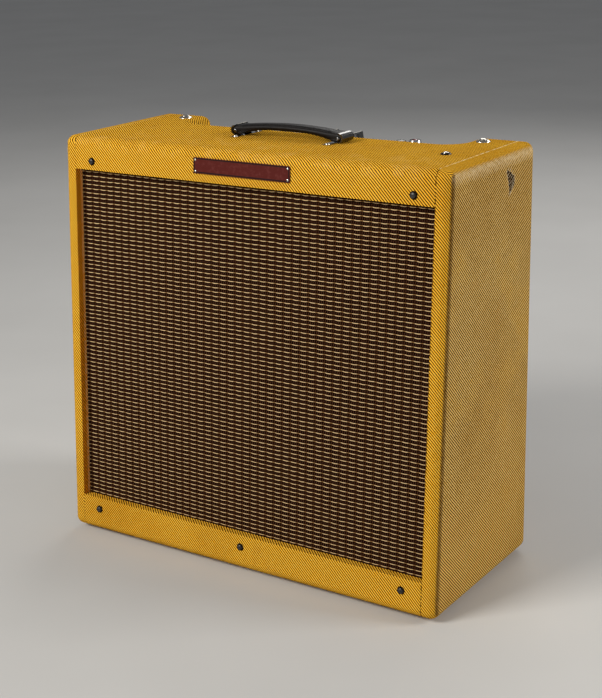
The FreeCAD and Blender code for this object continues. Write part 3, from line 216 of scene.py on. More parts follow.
def studio():
    mesh = bpy.data.meshes.new("floor")
    half = 12
    mesh.from_pydata([(-half, -half, 0), (half, -half, 0), (half, half, 0), (-half, half, 0)], [],
                     [(0, 1, 2, 3)])
    floor = bpy.data.objects.new("floor", mesh)
    bpy.context.scene.collection.objects.link(floor)
    pale = Recipe("floor_pale", Roughness=0.7)
    pale.set("Base Color", pale.ramp(pale.noise(0.002), (0.3, (0.52, 0.515, 0.50)),
                                     (0.7, (0.56, 0.555, 0.54))))
    mesh.materials.append(pale.material)
    world = bpy.data.worlds.new("studio")
    bpy.context.scene.world = world
    world.use_nodes = True
    sky = world.node_tree.nodes["Background"]
    sky.inputs["Color"].default_value = (0.86, 0.88, 0.92, 1)
    sky.inputs["Strength"].default_value = 0.22
    middle = (0, 0, 0.3)
    softbox("key", (-1.2, -2.6, 2.2), middle, (1.4, 1.2), 104, (1.0, 0.97, 0.92))
    softbox("fill", (2.7, 1.1, 1.5), middle, (1.2, 1.2), 52, (1.0, 0.98, 0.95))
    softbox("rear", (-0.6, 2.7, 2.1), middle, (1.8, 1.0), 24, (1.0, 0.98, 0.95))
    softbox("low", (2.3, -2.2, 0.9), middle, (1.2, 0.9), 9, (1.0, 0.97, 0.92))
    bpy.context.scene.view_settings.view_transform = "Standard"


aim_camera()
studio()


# ---------------------------------------------------------------- cloth

STRIPE = 4.45          # millimetres between stripes, along the warp or the weft
WARPS = 4              # warp threads in one stripe
SEAM = 278             # how far out the seams lie where the side cloth laps onto the front and top
GOLD = (srgb(254, 182, 36), srgb(255, 206, 82), srgb(58, 20, 0))
BEIGE = (srgb(202, 158, 78), srgb(238, 200, 128), srgb(10, 2, 0))


def tweed(weft, warp, recipe, yarns):
    """Lacquered diagonal-stripe twill. weft and warp are positions across and along the threads."""
    light_yarn, pale_yarn, dark_yarn = yarns
    pitch = STRIPE / WARPS
    wander = recipe.noise(0.03, 2.0)
    weft = recipe.math("ADD", weft, recipe.math("MULTIPLY", wander, 2.2))
    column = recipe.math("DIVIDE", weft, pitch)
    step = recipe.math("FLOOR", column)
    across = recipe.math("SUBTRACT", column, step)
    stepped = recipe.math("MULTIPLY", recipe.math("MULTIPLY_ADD", across, 0.55, step), pitch)
    phase = recipe.math("DIVIDE", recipe.math("ADD", stepped, warp), STRIPE)
    wave = recipe.math("MULTIPLY_ADD", recipe.math("SINE", recipe.math(
        "MULTIPLY", phase, 2 * math.pi)), 0.5, 0.5)
    thread_round = recipe.math("SINE", recipe.math("MULTIPLY", across, math.pi))
    picks = recipe.math("SINE", recipe.math("MULTIPLY", warp, 2 * math.pi / (pitch * 0.9)))
    fleck = recipe.noise(0.9, 2.0)
    light = recipe.blend(recipe.ramp(fleck, (0.35, 0.0), (0.7, 1.0)), light_yarn, pale_yarn)
    stripes = recipe.blend(recipe.ramp(wave, (0.24, 0.0), (0.6, 1.0), smooth=True), dark_yarn,
                           light)
    # painted shade: each thread is darkened towards its edges, where the threads meet
    groove = recipe.ramp(thread_round, (0.0, 0.72), (0.5, 1.0))
    threads = recipe.blend(1.0, stripes, groove, "MULTIPLY")
    age = recipe.ramp(recipe.noise(0.006, 4.0, 0.6), (0.32, (0.86, 0.80, 0.70)),
                      (0.55, (1.0, 1.0, 1.0)), (0.75, (1.0, 0.97, 0.90)))
    aged = recipe.blend(1.0, threads, age, "MULTIPLY")
    stain = recipe.ramp(recipe.noise(0.02, 5.0, 0.65), (0.60, 0.0), (0.8, 0.4))
    aged = recipe.blend(stain, aged, srgb(150, 98, 36))
    recipe.set("Roughness", recipe.map(fleck, 0.2, 0.8, 0.42, 0.6))
    height = recipe.math("MULTIPLY_ADD", wave, 0.7,
                         recipe.math("MULTIPLY_ADD", picks, 0.08,
                                     recipe.math("MULTIPLY", thread_round, 0.4)))
    recipe.bump(height, 0.5, 0.3)
    return aged


def cloth(name):
    return Recipe(name, Specular_IOR_Level=0.0)


def front_axes(recipe):
    """Depth behind the leaning front and distance up it, in millimetres."""
    x, y, z = recipe.place()
    behind = recipe.math("SUBTRACT", y, FRONT / MM)
    above = recipe.math("SUBTRACT", z, FOOT / MM)
    depth = recipe.math("SUBTRACT", recipe.math("MULTIPLY", behind, COS),
                        recipe.math("MULTIPLY", above, SIN))
    rise = recipe.math("ADD", recipe.math("MULTIPLY", above, COS),
                       recipe.math("MULTIPLY", behind, SIN))
    return x, depth, rise


def near(recipe, value, middle, half, soft):
    """1 within half of the middle, fading to 0 over soft more."""
    off = recipe.math("ABSOLUTE", recipe.math("SUBTRACT", value, middle))
    return recipe.add("MapRange", {"Value": off, "From Min": half, "From Max": half + soft,
                                   "To Min": 1.0, "To Max": 0.0})


def seamed(recipe, colour):
    """Darken the cut edge that runs along the seams, in broken dashes."""
    x, depth, _ = front_axes(recipe)
    ragged = recipe.noise(0.12, 3.0)
    side = recipe.math("ADD", recipe.math("ABSOLUTE", x),
                       recipe.math("MULTIPLY_ADD", ragged, 1.6, -0.8))
    on_front = recipe.math("LESS_THAN", depth, 8.0)
    line = near(recipe, side, SEAM, 0.5, 0.6)
    broken = recipe.ramp(recipe.noise(0.22, 3.0), (0.40, 0.1), (0.55, 1.0))
    tight = recipe.map(x, -SEAM, SEAM, 0.3, 0.9)
    shade = recipe.math("MULTIPLY", recipe.math("MULTIPLY", line, broken), tight)
    edge_colour = recipe.blend(on_front, srgb(240, 222, 170), srgb(60, 28, 2))
    return recipe.blend(shade, colour, edge_colour)


def tweed_over_the_front(name, way_at):
    """Cloth whose warp runs up the front and on over the edges; way_at says which way it goes."""
    recipe = cloth(name)
    x, depth, rise = front_axes(recipe)
    inward = recipe.math("MAXIMUM", depth, 0.0)
    way = way_at(recipe, rise)
    z = recipe.place()[2]
    from_face = recipe.math("MINIMUM", recipe.math("SUBTRACT", TOP / MM, z),
                            recipe.math("SUBTRACT", z, FOOT / MM))
    on_flat = recipe.math("GREATER_THAN", depth, 20.0)
    at_rear = recipe.map(recipe.normal()[1], 0.0, 0.3, 0.0, 1.0)
    levels = recipe.math("ADD", on_flat, recipe.math("MULTIPLY", at_rear, on_flat))
    over = recipe.math("MULTIPLY_ADD", recipe.math("MULTIPLY", from_face, levels), COS, inward)
    woven = tweed(x, recipe.math("MULTIPLY_ADD", over, way, rise), recipe, GOLD)
    rubbed = recipe.math("MULTIPLY", near(recipe, rise, SLOPE / MM - 4, 5.0, 9.0),
                         recipe.ramp(recipe.noise(0.05, 4.0, 0.7), (0.48, 0.0), (0.66, 0.14)))
    recipe.set("Base Color", seamed(recipe, recipe.blend(rubbed, woven, srgb(238, 200, 128))))
    return recipe


def above_line(recipe, rise, line):
    """+1 above a line up the front, -1 below it."""
    return recipe.math("MULTIPLY_ADD", recipe.math("GREATER_THAN", rise, line), 2.0, -1.0)


def tweed_on_side(name, way, torn=False):
    """Cloth on one side, lapping round the edges. way is 1 on the right side and -1 on the left."""
    recipe = cloth(name)
    x, y, z = recipe.place()
    nx, ny, nz = recipe.normal()
    lap = recipe.math("SUBTRACT", SIDE / MM, recipe.math("ABSOLUTE", x))
    upright = recipe.math("GREATER_THAN", recipe.math("ABSOLUTE", ny),
                          recipe.math("ABSOLUTE", nz))
    flat = recipe.math("SUBTRACT", 1.0, upright)
    across = recipe.math("MULTIPLY", recipe.math("MULTIPLY", recipe.math("SIGN", ny), upright),
                         way)
    weft = recipe.math("MULTIPLY_ADD", lap, across, recipe.math("MULTIPLY", y, way))
    along = recipe.math("MULTIPLY", recipe.math("SIGN", nz), flat)
    warp = recipe.math("MULTIPLY_ADD", lap, along, z)
    woven = tweed(weft, warp, recipe, GOLD)
    # the side faces are painted a paler beige, partly dust and partly painted sheen of light;
    # golder in random patches and towards the bottom
    dusty_and_sheened = tweed(weft, warp, recipe, BEIGE)
    outer = recipe.math("MULTIPLY", recipe.math("LESS_THAN", lap, 12.0), recipe.ramp(
        recipe.math("ABSOLUTE", nx), (0.72, 0.0), (0.95, 1.0)))
    gold_patch = recipe.ramp(recipe.noise(0.012, 3.0, 0.6), (0.5, 0.0), (0.7, 0.18))
    gold_low = recipe.map(z, 300, 60, 0.0, 0.2)
    dust = recipe.math("MULTIPLY", outer, recipe.math(
        "SUBTRACT", 1.0, recipe.math("MAXIMUM", gold_patch, gold_low)))
    colour = recipe.blend(dust, woven, dusty_and_sheened)
    chafed = recipe.math("MULTIPLY", near(recipe, z, TOP / MM - 5, 5.0, 12.0),
                         recipe.ramp(recipe.noise(0.22, 5.0, 0.7), (0.38, 0.1), (0.6, 0.65)))
    colour = recipe.blend(recipe.math("MULTIPLY", chafed, outer), colour, srgb(216, 190, 146))
    # painted warm bounce light: the inner faces of the opening are tinted warmer and more orange
    in_opening = recipe.math("GREATER_THAN", recipe.math("MULTIPLY", nx, -way), 0.5)
    painted_bounce_warmth = recipe.blend(1.0, colour, (1.4, 0.92, 0.5), "MULTIPLY")
    colour = recipe.blend(in_opening, colour, painted_bounce_warmth)
    if torn:
        # painted shade: a dark band down the outer part of the rounded front edge
        colour = recipe.blend(handled_edge(recipe, nx, ny), colour, srgb(52, 20, 0))
        colour = tear(recipe, colour)
    recipe.set("Base Color", seamed(recipe, colour))
    return recipe


def handled_edge(recipe, nx, ny):
    """Painted shade along the outer part of the rounded front edge, where the cloth turns away from
    the light.
    """
    in_front = recipe.math("LESS_THAN", ny, -0.15)
    patchy = recipe.ramp(recipe.noise(0.3, 4.0, 0.7), (0.35, 0.45), (0.6, 0.8))
    return recipe.math("MULTIPLY", recipe.math("MULTIPLY", near(recipe, nx, 0.88, 0.03, 0.14),
                                               in_front), patchy)


TEAR_LOW, TEAR_HIGH = 514, 549          # the torn patch on the right side, in millimetres up


def tear_middle(share):
    """How far back the middle of the torn patch lies at a share of its height, in millimetres."""
    return 56 + 36 * share * (1 - share) - 10 * share ** 2


def tear(recipe, colour):
    """A torn patch: dark wood and lining behind slanting pale threads, with a frayed rim."""
    _, y, z = recipe.place()
    share = recipe.map(z, TEAR_LOW, TEAR_HIGH, 0.0, 1.0)
    arch = recipe.math("MULTIPLY", share, recipe.math("SUBTRACT", 1.0, share))
    middle = recipe.math("ADD", recipe.math("MULTIPLY_ADD", arch, 36, 56),
                         recipe.math("MULTIPLY", recipe.math("POWER", share, 2.0), -10))
    bulge = recipe.math("POWER", recipe.math("MULTIPLY", arch, 4), 0.7)
    ragged = recipe.math("MULTIPLY_ADD", recipe.noise(0.35, 3.0, 0.7), 6.0, -3.0)
    off = recipe.math("ABSOLUTE", recipe.math("ADD", recipe.math("SUBTRACT", y, middle), ragged))
    room = recipe.math("SUBTRACT", recipe.math("MULTIPLY_ADD", bulge, 12.5, -3.4), off)
    inside = recipe.map(room, -0.3, 0.5, 0.0, 1.0)
    rim = recipe.map(room, -3.2, 0.0, 0.0, 1.0)
    frayed = recipe.math("MULTIPLY", rim, recipe.ramp(recipe.noise(0.6, 3.0), (0.4, 0.2),
                                                      (0.6, 0.9)))
    slant = recipe.math("SINE", recipe.math("MULTIPLY_ADD", z, -1.0, recipe.math(
        "MULTIPLY", y, 1.05)))
    behind = recipe.ramp(recipe.math("MULTIPLY_ADD", slant, 0.5, 0.5), (0.5, srgb(9, 4, 2)),
                         (0.85, srgb(86, 62, 38)))
    with_rim = recipe.blend(frayed, colour, srgb(214, 180, 122))
    return recipe.blend(inside, with_rim, behind)


def cover_cabinet():
    high = SLOPE / MM
    finish_with(tweed_over_the_front("tweed_top", lambda r, rise: above_line(r, rise, high - 30)),
                "covering_top")
    finish_with(tweed_over_the_front("tweed_bottom", lambda r, rise: above_line(r, rise, 30)),
                "covering_bottom")
    finish_with(tweed_on_side("tweed_right", 1, torn=True), "covering_right")
    finish_with(tweed_on_side("tweed_left", -1), "covering_left")
    back = cloth("tweed_back")
    x, _, z = back.place()
    back.set("Base Color", tweed(back.math("MULTIPLY", x, -1.0), z, back, GOLD))
    finish_with(back, "covering_back_panels")


ROW_PITCH, DASH_PITCH = 5.88, 12.7      # millimetres between the grille's pale rows, and dashes


def weave_grille():
    """Grille cloth: tan yarns in rows, raised in dashes, over a dark brown ground."""
    recipe = Recipe("grille_weave", Roughness=0.8, Specular_IOR_Level=0.0)
    x, _, rise = front_axes(recipe)
    wobble = recipe.math("MULTIPLY_ADD", recipe.noise(0.05, 2.0), 1.6, -0.8)
    column = recipe.math("DIVIDE", recipe.math("MULTIPLY_ADD", wobble, 0.7, x), DASH_PITCH)
    column_turn = recipe.math("MULTIPLY", column, 2 * math.pi)
    height = recipe.math("MULTIPLY_ADD", recipe.math("COSINE", column_turn), 0.2,
                         recipe.math("ADD", rise, wobble))
    row = recipe.math("DIVIDE", height, ROW_PITCH)
    row_turn = recipe.math("MULTIPLY", row, 2 * math.pi)
    row_wave = recipe.math("MULTIPLY_ADD", recipe.math("COSINE", row_turn), 0.5, 0.5)
    dash = recipe.math("MULTIPLY_ADD", recipe.math("COSINE", column_turn), 0.5, 0.5)
    yarn = recipe.ramp(row_wave, (0.85, 0.0), (0.975, 1.0), smooth=True)
    raised = recipe.ramp(dash, (0.12, 0.0), (0.4, 1.0), smooth=True)
    between = recipe.math("MULTIPLY_ADD", recipe.math(
        "COSINE", recipe.math("MULTIPLY_ADD", row, 2 * math.pi, math.pi)), 0.5, 0.5)
    ribs = recipe.math("MULTIPLY_ADD", recipe.math(
        "SINE", recipe.math("MULTIPLY", x, 2 * math.pi / 3.175)), 0.5, 0.5)
    pairs = recipe.math("MULTIPLY", recipe.ramp(between, (0.35, 0.0), (0.8, 1.0)),
                        recipe.ramp(ribs, (0.35, 0.0), (0.75, 1.0)))
    lumps = recipe.ramp(recipe.noise(0.42, 3.0, 0.6, recipe.stretched(0.55, 0.55, 1.3)),
                        (0.36, srgb(4, 1, 0)), (0.52, srgb(14, 4, 1)), (0.7, srgb(35, 16, 9)))
    ground = recipe.blend(recipe.math("MULTIPLY", pairs, 0.7), lumps, srgb(74, 45, 32))
    dull = recipe.blend(recipe.noise(0.25, 2.0), srgb(112, 80, 48), srgb(142, 106, 64))
    bright = recipe.blend(recipe.noise(0.25, 2.0), srgb(200, 165, 114), srgb(232, 201, 154))
    recipe.set("Base Color", recipe.blend(yarn, ground, recipe.blend(raised, dull, bright)))
    relief = recipe.math("MULTIPLY_ADD", yarn, recipe.math("MULTIPLY_ADD", raised, 0.6, 0.4),
                         recipe.math("MULTIPLY", pairs, 0.35))
    recipe.bump(relief, 0.9, 0.9)
    finish_with(recipe, "grille_cloth")


cover_cabinet()
weave_grille()


# ---------------------------------------------------------------- metals, plastics, wood

def plated(name, colour, rough, wear=0.5):
    """Bright plate with fine scratches and dull spots."""
    recipe = Recipe(name, Metallic=1.0)
    spots = recipe.noise(0.12, 5.0, 0.7)
    recipe.set("Base Color", recipe.ramp(spots, (0.35, tuple(c * 0.72 for c in colour)),
                                         (0.6, colour)))
    scratch = recipe.noise(1.2, 3.0, 0.6, recipe.stretched(1.0, 0.15, 1.0))
    recipe.set("Roughness", recipe.map(scratch, 0.3, 0.75, rough, rough + 0.22 * wear))
    return recipe.bump(scratch, 0.12, 0.05)


def washer_plate():
    """Nickelled cup washers; those on the front and the front one on top are given a dark colour.
    """
    recipe = plated("aged_washers", srgb(214, 208, 196), 0.18)
    depth = front_axes(recipe)[1]
    bright = recipe.math("GREATER_THAN", depth, 150.0)
    # dark colour for the washers on the front and for the front one on top
    worn = recipe.ramp(recipe.noise(0.5, 3.0), (0.45, srgb(26, 20, 16)), (0.75, srgb(96, 84, 70)))
    recipe.set("Base Color", recipe.blend(bright, worn, srgb(196, 190, 178)))
    return recipe


def moulded(name, colour, rough):
    """Moulded plastic or enamel, slightly uneven, with dust in its texture."""
    recipe = Recipe(name, Coat_Weight=0.25, Coat_Roughness=0.2)
    dust = recipe.noise(0.15, 5.0, 0.7)
    pale = tuple(min(1, c * 1.5 + 0.02) for c in colour)
    recipe.set("Base Color", recipe.ramp(dust, (0.5, colour), (0.8, pale)))
    recipe.set("Roughness", recipe.map(dust, 0.3, 0.7, rough, rough + 0.2))
    return recipe.bump(recipe.noise(0.8, 3.0), 0.12, 0.08)


LINED = 13.2            # how deep the cloth is turned into the front's opening, in millimetres


def timber(name, grain, light, dark, lined=False):
    """Boards. grain gives how fast the figure changes along X, Y and Z; lined ones show cloth."""
    recipe = Recipe(name, Roughness=0.72)
    long_grain = recipe.noise(1.0, 4.0, 0.6, recipe.stretched(*grain), 0.6)
    fibres = recipe.noise(1.0, 2.0, 0.5, recipe.stretched(*(g * 9 for g in grain)))
    tone = recipe.ramp(long_grain, (0.3, dark), (0.55, light),
                       (0.75, tuple(c * 0.86 for c in light)))
    fine = recipe.ramp(fibres, (0.3, 0.78), (0.6, 1.0))
    grime = recipe.ramp(recipe.noise(0.008, 4.0), (0.3, (0.78, 0.72, 0.66)), (0.6, (1.0, 1.0, 1.0)))
    wood = recipe.blend(1.0, recipe.blend(1.0, tone, fine, "MULTIPLY"), grime, "MULTIPLY")
    if not lined:
        recipe.set("Base Color", wood)
        return recipe.bump(fibres, 0.3, 0.2)
    x, depth, rise = front_axes(recipe)
    woven = tweed(recipe.math("ADD", x, depth), recipe.math("ADD", rise, depth), recipe, GOLD)
    recipe.set("Base Color", recipe.blend(recipe.math("LESS_THAN", depth, LINED), wood, woven))
    return recipe


def enamelled_plate():
    """Burgundy enamel, nearly black along a line just inside the plate's edge."""
    recipe = moulded("burgundy_enamel", srgb(78, 17, 9), 0.5)
    recipe.set("Specular IOR Level", 0.15).set("Coat Weight", 0.02)
    enamel = recipe.shader.inputs["Base Color"].links[0].from_socket
    x, _, rise = front_axes(recipe)
    low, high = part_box("nameplate")
    plate_low = (low.z - FOOT) / COS / MM
    plate_high = (high.z - FOOT) / COS / MM
    from_side = recipe.math("SUBTRACT", high.x / MM, recipe.math("ABSOLUTE", x))
    from_rim = recipe.math("SUBTRACT", (plate_high - plate_low) / 2, recipe.math(
        "ABSOLUTE", recipe.math("SUBTRACT", rise, (plate_low + plate_high) / 2)))
    line = near(recipe, recipe.math("MINIMUM", from_side, from_rim), 1.6, 0.5, 0.5)
    recipe.set("Base Color", recipe.blend(line, enamel, srgb(20, 7, 5)))
    return recipe


def braided():
    """Waxed cotton braid on hook-up wire."""
    recipe = Recipe("lead_braid", Roughness=0.75, Specular_IOR_Level=0.2)
    x, _, z = recipe.place()
    slant = recipe.math("SINE", recipe.math("MULTIPLY", recipe.math("ADD", z, x), 5.0))
    other = recipe.math("SINE", recipe.math("MULTIPLY", recipe.math("SUBTRACT", z, x), 5.0))
    cross = recipe.math("MULTIPLY_ADD", recipe.math("MAXIMUM", slant, other), 0.5, 0.5)
    grime = recipe.ramp(recipe.noise(0.05, 4.0), (0.35, (0.7, 0.62, 0.5)), (0.6, (1.0, 1.0, 1.0)))
    # painted shade: the cotton is darker between the crossing strands
    cotton = recipe.ramp(cross, (0.2, srgb(96, 84, 62)), (0.8, srgb(178, 164, 128)))
    recipe.set("Base Color", recipe.blend(1.0, cotton, grime, "MULTIPLY"))
    return recipe.bump(cross, 0.5, 0.2)


PINE_LIGHT, PINE_DARK = srgb(214, 172, 112), srgb(158, 108, 58)
finish_with(timber("pine_upright", (0.08, 0.03, 0.004), PINE_LIGHT, PINE_DARK, lined=True),
            "side_board_left", "side_board_right")
finish_with(timber("pine_strip", (0.08, 0.03, 0.004), PINE_LIGHT, PINE_DARK), "cabinet_cleats")
finish_with(timber("pine_rail", (0.004, 0.03, 0.08), PINE_LIGHT, PINE_DARK, lined=True),
            "upper_front_board", "lower_front_board")
finish_with(timber("pine_across", (0.004, 0.03, 0.08), PINE_LIGHT, PINE_DARK),
            "top_board", "bottom_board")
finish_with(timber("ply_across", (0.005, 0.6, 0.05), srgb(198, 156, 100), srgb(160, 116, 66)),
            "baffle_board", "upper_back_panel", "lower_back_panel")
# the handle's end caps get a dark base colour: a painted dark reflection on the chrome
finish_with(plated("dulled_chrome", srgb(104, 103, 102), 0.16), "handle_end_fittings")
finish_with(plated("chrome_plate", srgb(225, 225, 226), 0.08), "handle_brackets",
            "pilot_lamp_holder", "fuse_holder", "power_toggle_lever", "standby_toggle_lever")
finish_with(plated("nickel_plate", srgb(214, 208, 196), 0.18), "back_panel_screws",
            "nameplate_nails", "floor_glides", "top_screws")
finish_with(washer_plate(), "cup_washers")
finish_with(plated("chromed_chassis", srgb(176, 177, 180), 0.26), "chassis",
            "filter_capacitor_cover")
finish_with(plated("zinc_plate", srgb(176, 176, 170), 0.34, 1.0), "potentiometers",
            "toggle_switch_bodies", "input_jacks")
finish_with(moulded("black_oxide", srgb(26, 22, 20), 0.35), "baffle_screws", "speaker_bolts")
finish_with(moulded("black_phenolic", srgb(17, 16, 16), 0.22), "fuse_cap",
            *[name for name in nodes if name.startswith("knob_")])
finish_with(moulded("brown_phenolic", srgb(66, 38, 22), 0.3), "tube_sockets")
finish_with(moulded("black_enamel", srgb(24, 24, 25), 0.3), "power_transformer",
            "output_transformer", "choke")
finish_with(moulded("speaker_paint", srgb(96, 104, 108), 0.4), "speaker_frames",
            "speaker_magnets")
finish_with(moulded("paper_pulp", srgb(44, 38, 33), 0.85),
            *[name for name in nodes if name.startswith("speaker_cone_")])
finish_with(moulded("fibre_board", srgb(40, 36, 32), 0.6), "circuit_board")
finish_with(moulded("capacitor_card", srgb(176, 148, 104), 0.7), "filter_capacitors")
finish_with(moulded("rubber_black", srgb(20, 20, 20), 0.7), "mains_grommet")
finish_with(braided(), "speaker_leads")
finish_with(enamelled_plate(), "nameplate")


# ---------------------------------------------------------------- mesh tools

def piece(name, recipe, body="cabinet"):
    """A new object with an empty mesh and a finish, riding on a body."""
    mesh = bpy.data.meshes.new(name)
    thing = bpy.data.objects.new(name, mesh)
    bpy.context.scene.collection.objects.link(thing)
    mesh.materials.append(recipe.material)
    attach(thing, body)
    return thing


def fill(thing, shape, smooth=True):
    """Put a bmesh into a piece."""
    bmesh.ops.recalc_face_normals(shape, faces=shape.faces)
    for face in shape.faces:
        face.smooth = smooth
    shape.to_mesh(thing.data)
    shape.free()
    return thing


def skin_rings(shape, rings):
    """Join rings of points into a tube with closed ends."""
    loops = [[shape.verts.new(point) for point in ring] for ring in rings]
    for first, second in zip(loops, loops[1:]):
        for a in range(len(first)):
            b = (a + 1) % len(first)
            shape.faces.new((first[a], first[b], second[b], second[a]))
    shape.faces.new(loops[0][::-1])
    shape.faces.new(loops[-1])


def lathe(shape, profile, base, steps=40):
    """Turn a profile of (radius, height) about an upright axis at base."""
    turns = [2 * math.pi * step / steps for step in range(steps)]
    skin_rings(shape, [[base + Vector((radius * math.cos(a), radius * math.sin(a), height))
                        for a in turns] for radius, height in profile])


def thread(shape, points, radius, sides=6):
    """A fine round thread through points."""
    rings = []
    for number, point in enumerate(points):
        ahead = points[min(number + 1, len(points) - 1)] - points[max(number - 1, 0)]
        across = ahead.orthogonal().normalized()
        other = ahead.cross(across).normalized()
        rings.append([point + radius * (math.cos(2 * math.pi * n / sides) * across
                                        + math.sin(2 * math.pi * n / sides) * other)
                      for n in range(sides)])
    skin_rings(shape, rings)


def islands(name, axis, gap=3 * MM):
    """The boxes of a node's separate pieces, split where they stand apart along one axis."""
    points = sorted((vertex.co.copy() for vertex in nodes[name].data.vertices),
                    key=lambda point: point[axis])
    groups = [[points[0]]]
    for point in points[1:]:
        if point[axis] - groups[-1][-1][axis] > gap:
            groups.append([])
        groups[-1].append(point)
    return [(Vector(map(min, zip(*group))), Vector(map(max, zip(*group)))) for group in groups]


# ---------------------------------------------------------------- leather handle

STRAP_LOW, STRAP_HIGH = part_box("handle_strap")
END_RADIUS = 5.8 * MM
STRAP_SIDE = STRAP_HIGH.x - END_RADIUS              # where the round ends begin
STRAP_MIDDLE = STRAP_LOW.z + END_RADIUS             # the height of the round ends' middle
ARCH = 8.7 * MM
CROWN = STRAP_HIGH.z - STRAP_MIDDLE - END_RADIUS
STRAP_Y = (STRAP_LOW.y + STRAP_HIGH.y) / 2
STRAP_HALF = (STRAP_HIGH.y - STRAP_LOW.y) / 2
STITCH_LINE = 9.2 * MM                              # how far the stitches lie from the middle
SINK = 0.9 * MM                                     # how far the edges lie below the padding
THIN = 0.2 * MM                                     # how far the leather's underside is drawn in
FADE = 16 * MM                                      # the length over which the padding dies away
PADDED_HALF = 8 * MM                                # half the width of the padding
SLOT_SIDE, SLOT_OFF, SLOT_RISE = 74.4 * MM, 7 * MM, 4.05 * MM   # a slot's middle
SLOT_SIZE = (20.8 * MM, 3.5 * MM, 12.7 * MM)


def strap_edges(x):
    """The strap's underside and top at a distance along it."""
    off = abs(x)
    top = STRAP_MIDDLE + END_RADIUS + CROWN * (1 - (x / STRAP_SIDE) ** 2)
    bottom = STRAP_MIDDLE - END_RADIUS + ARCH * max(0, 1 - (off / (STRAP_SIDE - 9 * MM)) ** 3)
    if off > STRAP_SIDE:
        reach = math.sqrt(max(0, END_RADIUS ** 2 - (off - STRAP_SIDE) ** 2))
        top, bottom = STRAP_MIDDLE + reach, STRAP_MIDDLE - reach
    return bottom, top


def strap_section(x):
    """A ring round the strap: rounded edges, a stitched groove near each and a padded middle."""
    bottom, top = strap_edges(x)
    fade = min(1, max(0, (STRAP_SIDE - abs(x)) / FADE))
    bottom += THIN * fade
    sink = SINK * fade
    corner = min(3 * MM, (top - bottom - sink) * 0.42)
    ring = []
    for share in range(25):
        y = STRAP_HALF * (1 - share / 12)
        inset = max(0, abs(y) - (STRAP_HALF - corner))
        drop = corner - math.sqrt(max(0, corner ** 2 - inset ** 2))
        groove = 0.9 * MM * math.exp(-((abs(y) - STITCH_LINE) / (0.9 * MM)) ** 2)
        pad = SINK * max(0, 1 - (y / PADDED_HALF) ** 4)
        ring.append(Vector((x, STRAP_Y + y, top - sink - drop + (pad - groove) * fade)))
    for share in range(25):
        y = STRAP_HALF * (share / 12 - 1)
        inset = max(0, abs(y) - (STRAP_HALF - corner))
        rise = corner - math.sqrt(max(0, corner ** 2 - inset ** 2))
        ring.append(Vector((x, STRAP_Y + y, bottom + rise)))
    return ring


def leather():
    recipe = Recipe("black_leather", Specular_IOR_Level=0.16)
    recipe.place()
    cells = recipe.add("TexVoronoi", {"Vector": recipe.spot, "Scale": 0.75, "Randomness": 1.0},
                       "Distance")
    creases = recipe.noise(0.35, 5.0, 0.7)
    worn = recipe.ramp(recipe.noise(0.05, 5.0, 0.7), (0.52, 0.0), (0.72, 0.7))
    base = recipe.ramp(creases, (0.35, srgb(7, 4, 3)), (0.65, srgb(15, 11, 9)))
    recipe.set("Base Color", recipe.blend(worn, base, srgb(30, 21, 16)))
    recipe.set("Roughness", recipe.map(creases, 0.3, 0.7, 0.4, 0.6))
    return recipe.bump(recipe.math("MULTIPLY_ADD", cells, 0.5, creases), 0.45, 0.35)


def waxed_thread():
    recipe = Recipe("waxed_thread", Roughness=0.6)
    twist = recipe.math("SINE", recipe.math("MULTIPLY", recipe.place()[0], 9.0))
    # painted shade: darker bands between the turns of the twist
    recipe.set("Base Color", recipe.ramp(twist, (0.2, srgb(22, 18, 16)), (0.8, srgb(54, 48, 42))))
    return recipe.bump(twist, 0.4, 0.1)


def leather_strap():
    shape = bmesh.new()
    half = STRAP_SIDE + END_RADIUS * 0.995
    stations = [half * math.sin(math.pi / 2 * (n / 36 - 1)) for n in range(73)]
    skin_rings(shape, [strap_section(x) for x in stations])
    strap = fill(piece("leather_handle_strap", leather(), "handle"), shape)
    cutter = bmesh.new()
    for end in (-1, 1):
        for way in (-1, 1):
            place = Vector((end * SLOT_SIDE, STRAP_Y + way * SLOT_OFF, STRAP_LOW.z + SLOT_RISE))
            size = Matrix.Diagonal((*SLOT_SIZE, 1))
            bmesh.ops.create_cube(cutter, size=1, matrix=Matrix.Translation(place) @ size)
    slots = bpy.data.objects.new("strap_slots", bpy.data.meshes.new("strap_slots"))
    cutter.to_mesh(slots.data)
    cutter.free()
    bpy.context.scene.collection.objects.link(slots)
    carve = strap.modifiers.new("slots", "BOOLEAN")
    carve.operation = "DIFFERENCE"
    carve.object = slots
    carved = bpy.data.meshes.new_from_object(strap.evaluated_get(
        bpy.context.evaluated_depsgraph_get()))
    strap.modifiers.clear()
    strap.data = carved
    bpy.data.objects.remove(slots)
    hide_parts("handle_strap")


def strap_stitches():
    shape = bmesh.new()
    spacing, length = 4.4 * MM, 2.9 * MM
    count = int((STRAP_SIDE - FADE - 2 * MM) / spacing)
    for side in (-1, 1):
        for number in range(-count, count + 1):
            x = number * spacing
            points = []
            for share in (-0.5, -0.3, 0, 0.3, 0.5):
                along = x + share * length
                lift = 0.35 * MM * math.cos(math.pi * share)
                points.append(Vector((along, STRAP_Y + side * STITCH_LINE,
                                      strap_edges(along)[1] - 1.7 * MM + lift)))
            thread(shape, points, 0.4 * MM)
    fill(piece("handle_stitching", waxed_thread(), "handle"), shape)


leather_strap()
strap_stitches()


# ---------------------------------------------------------------- torn cloth

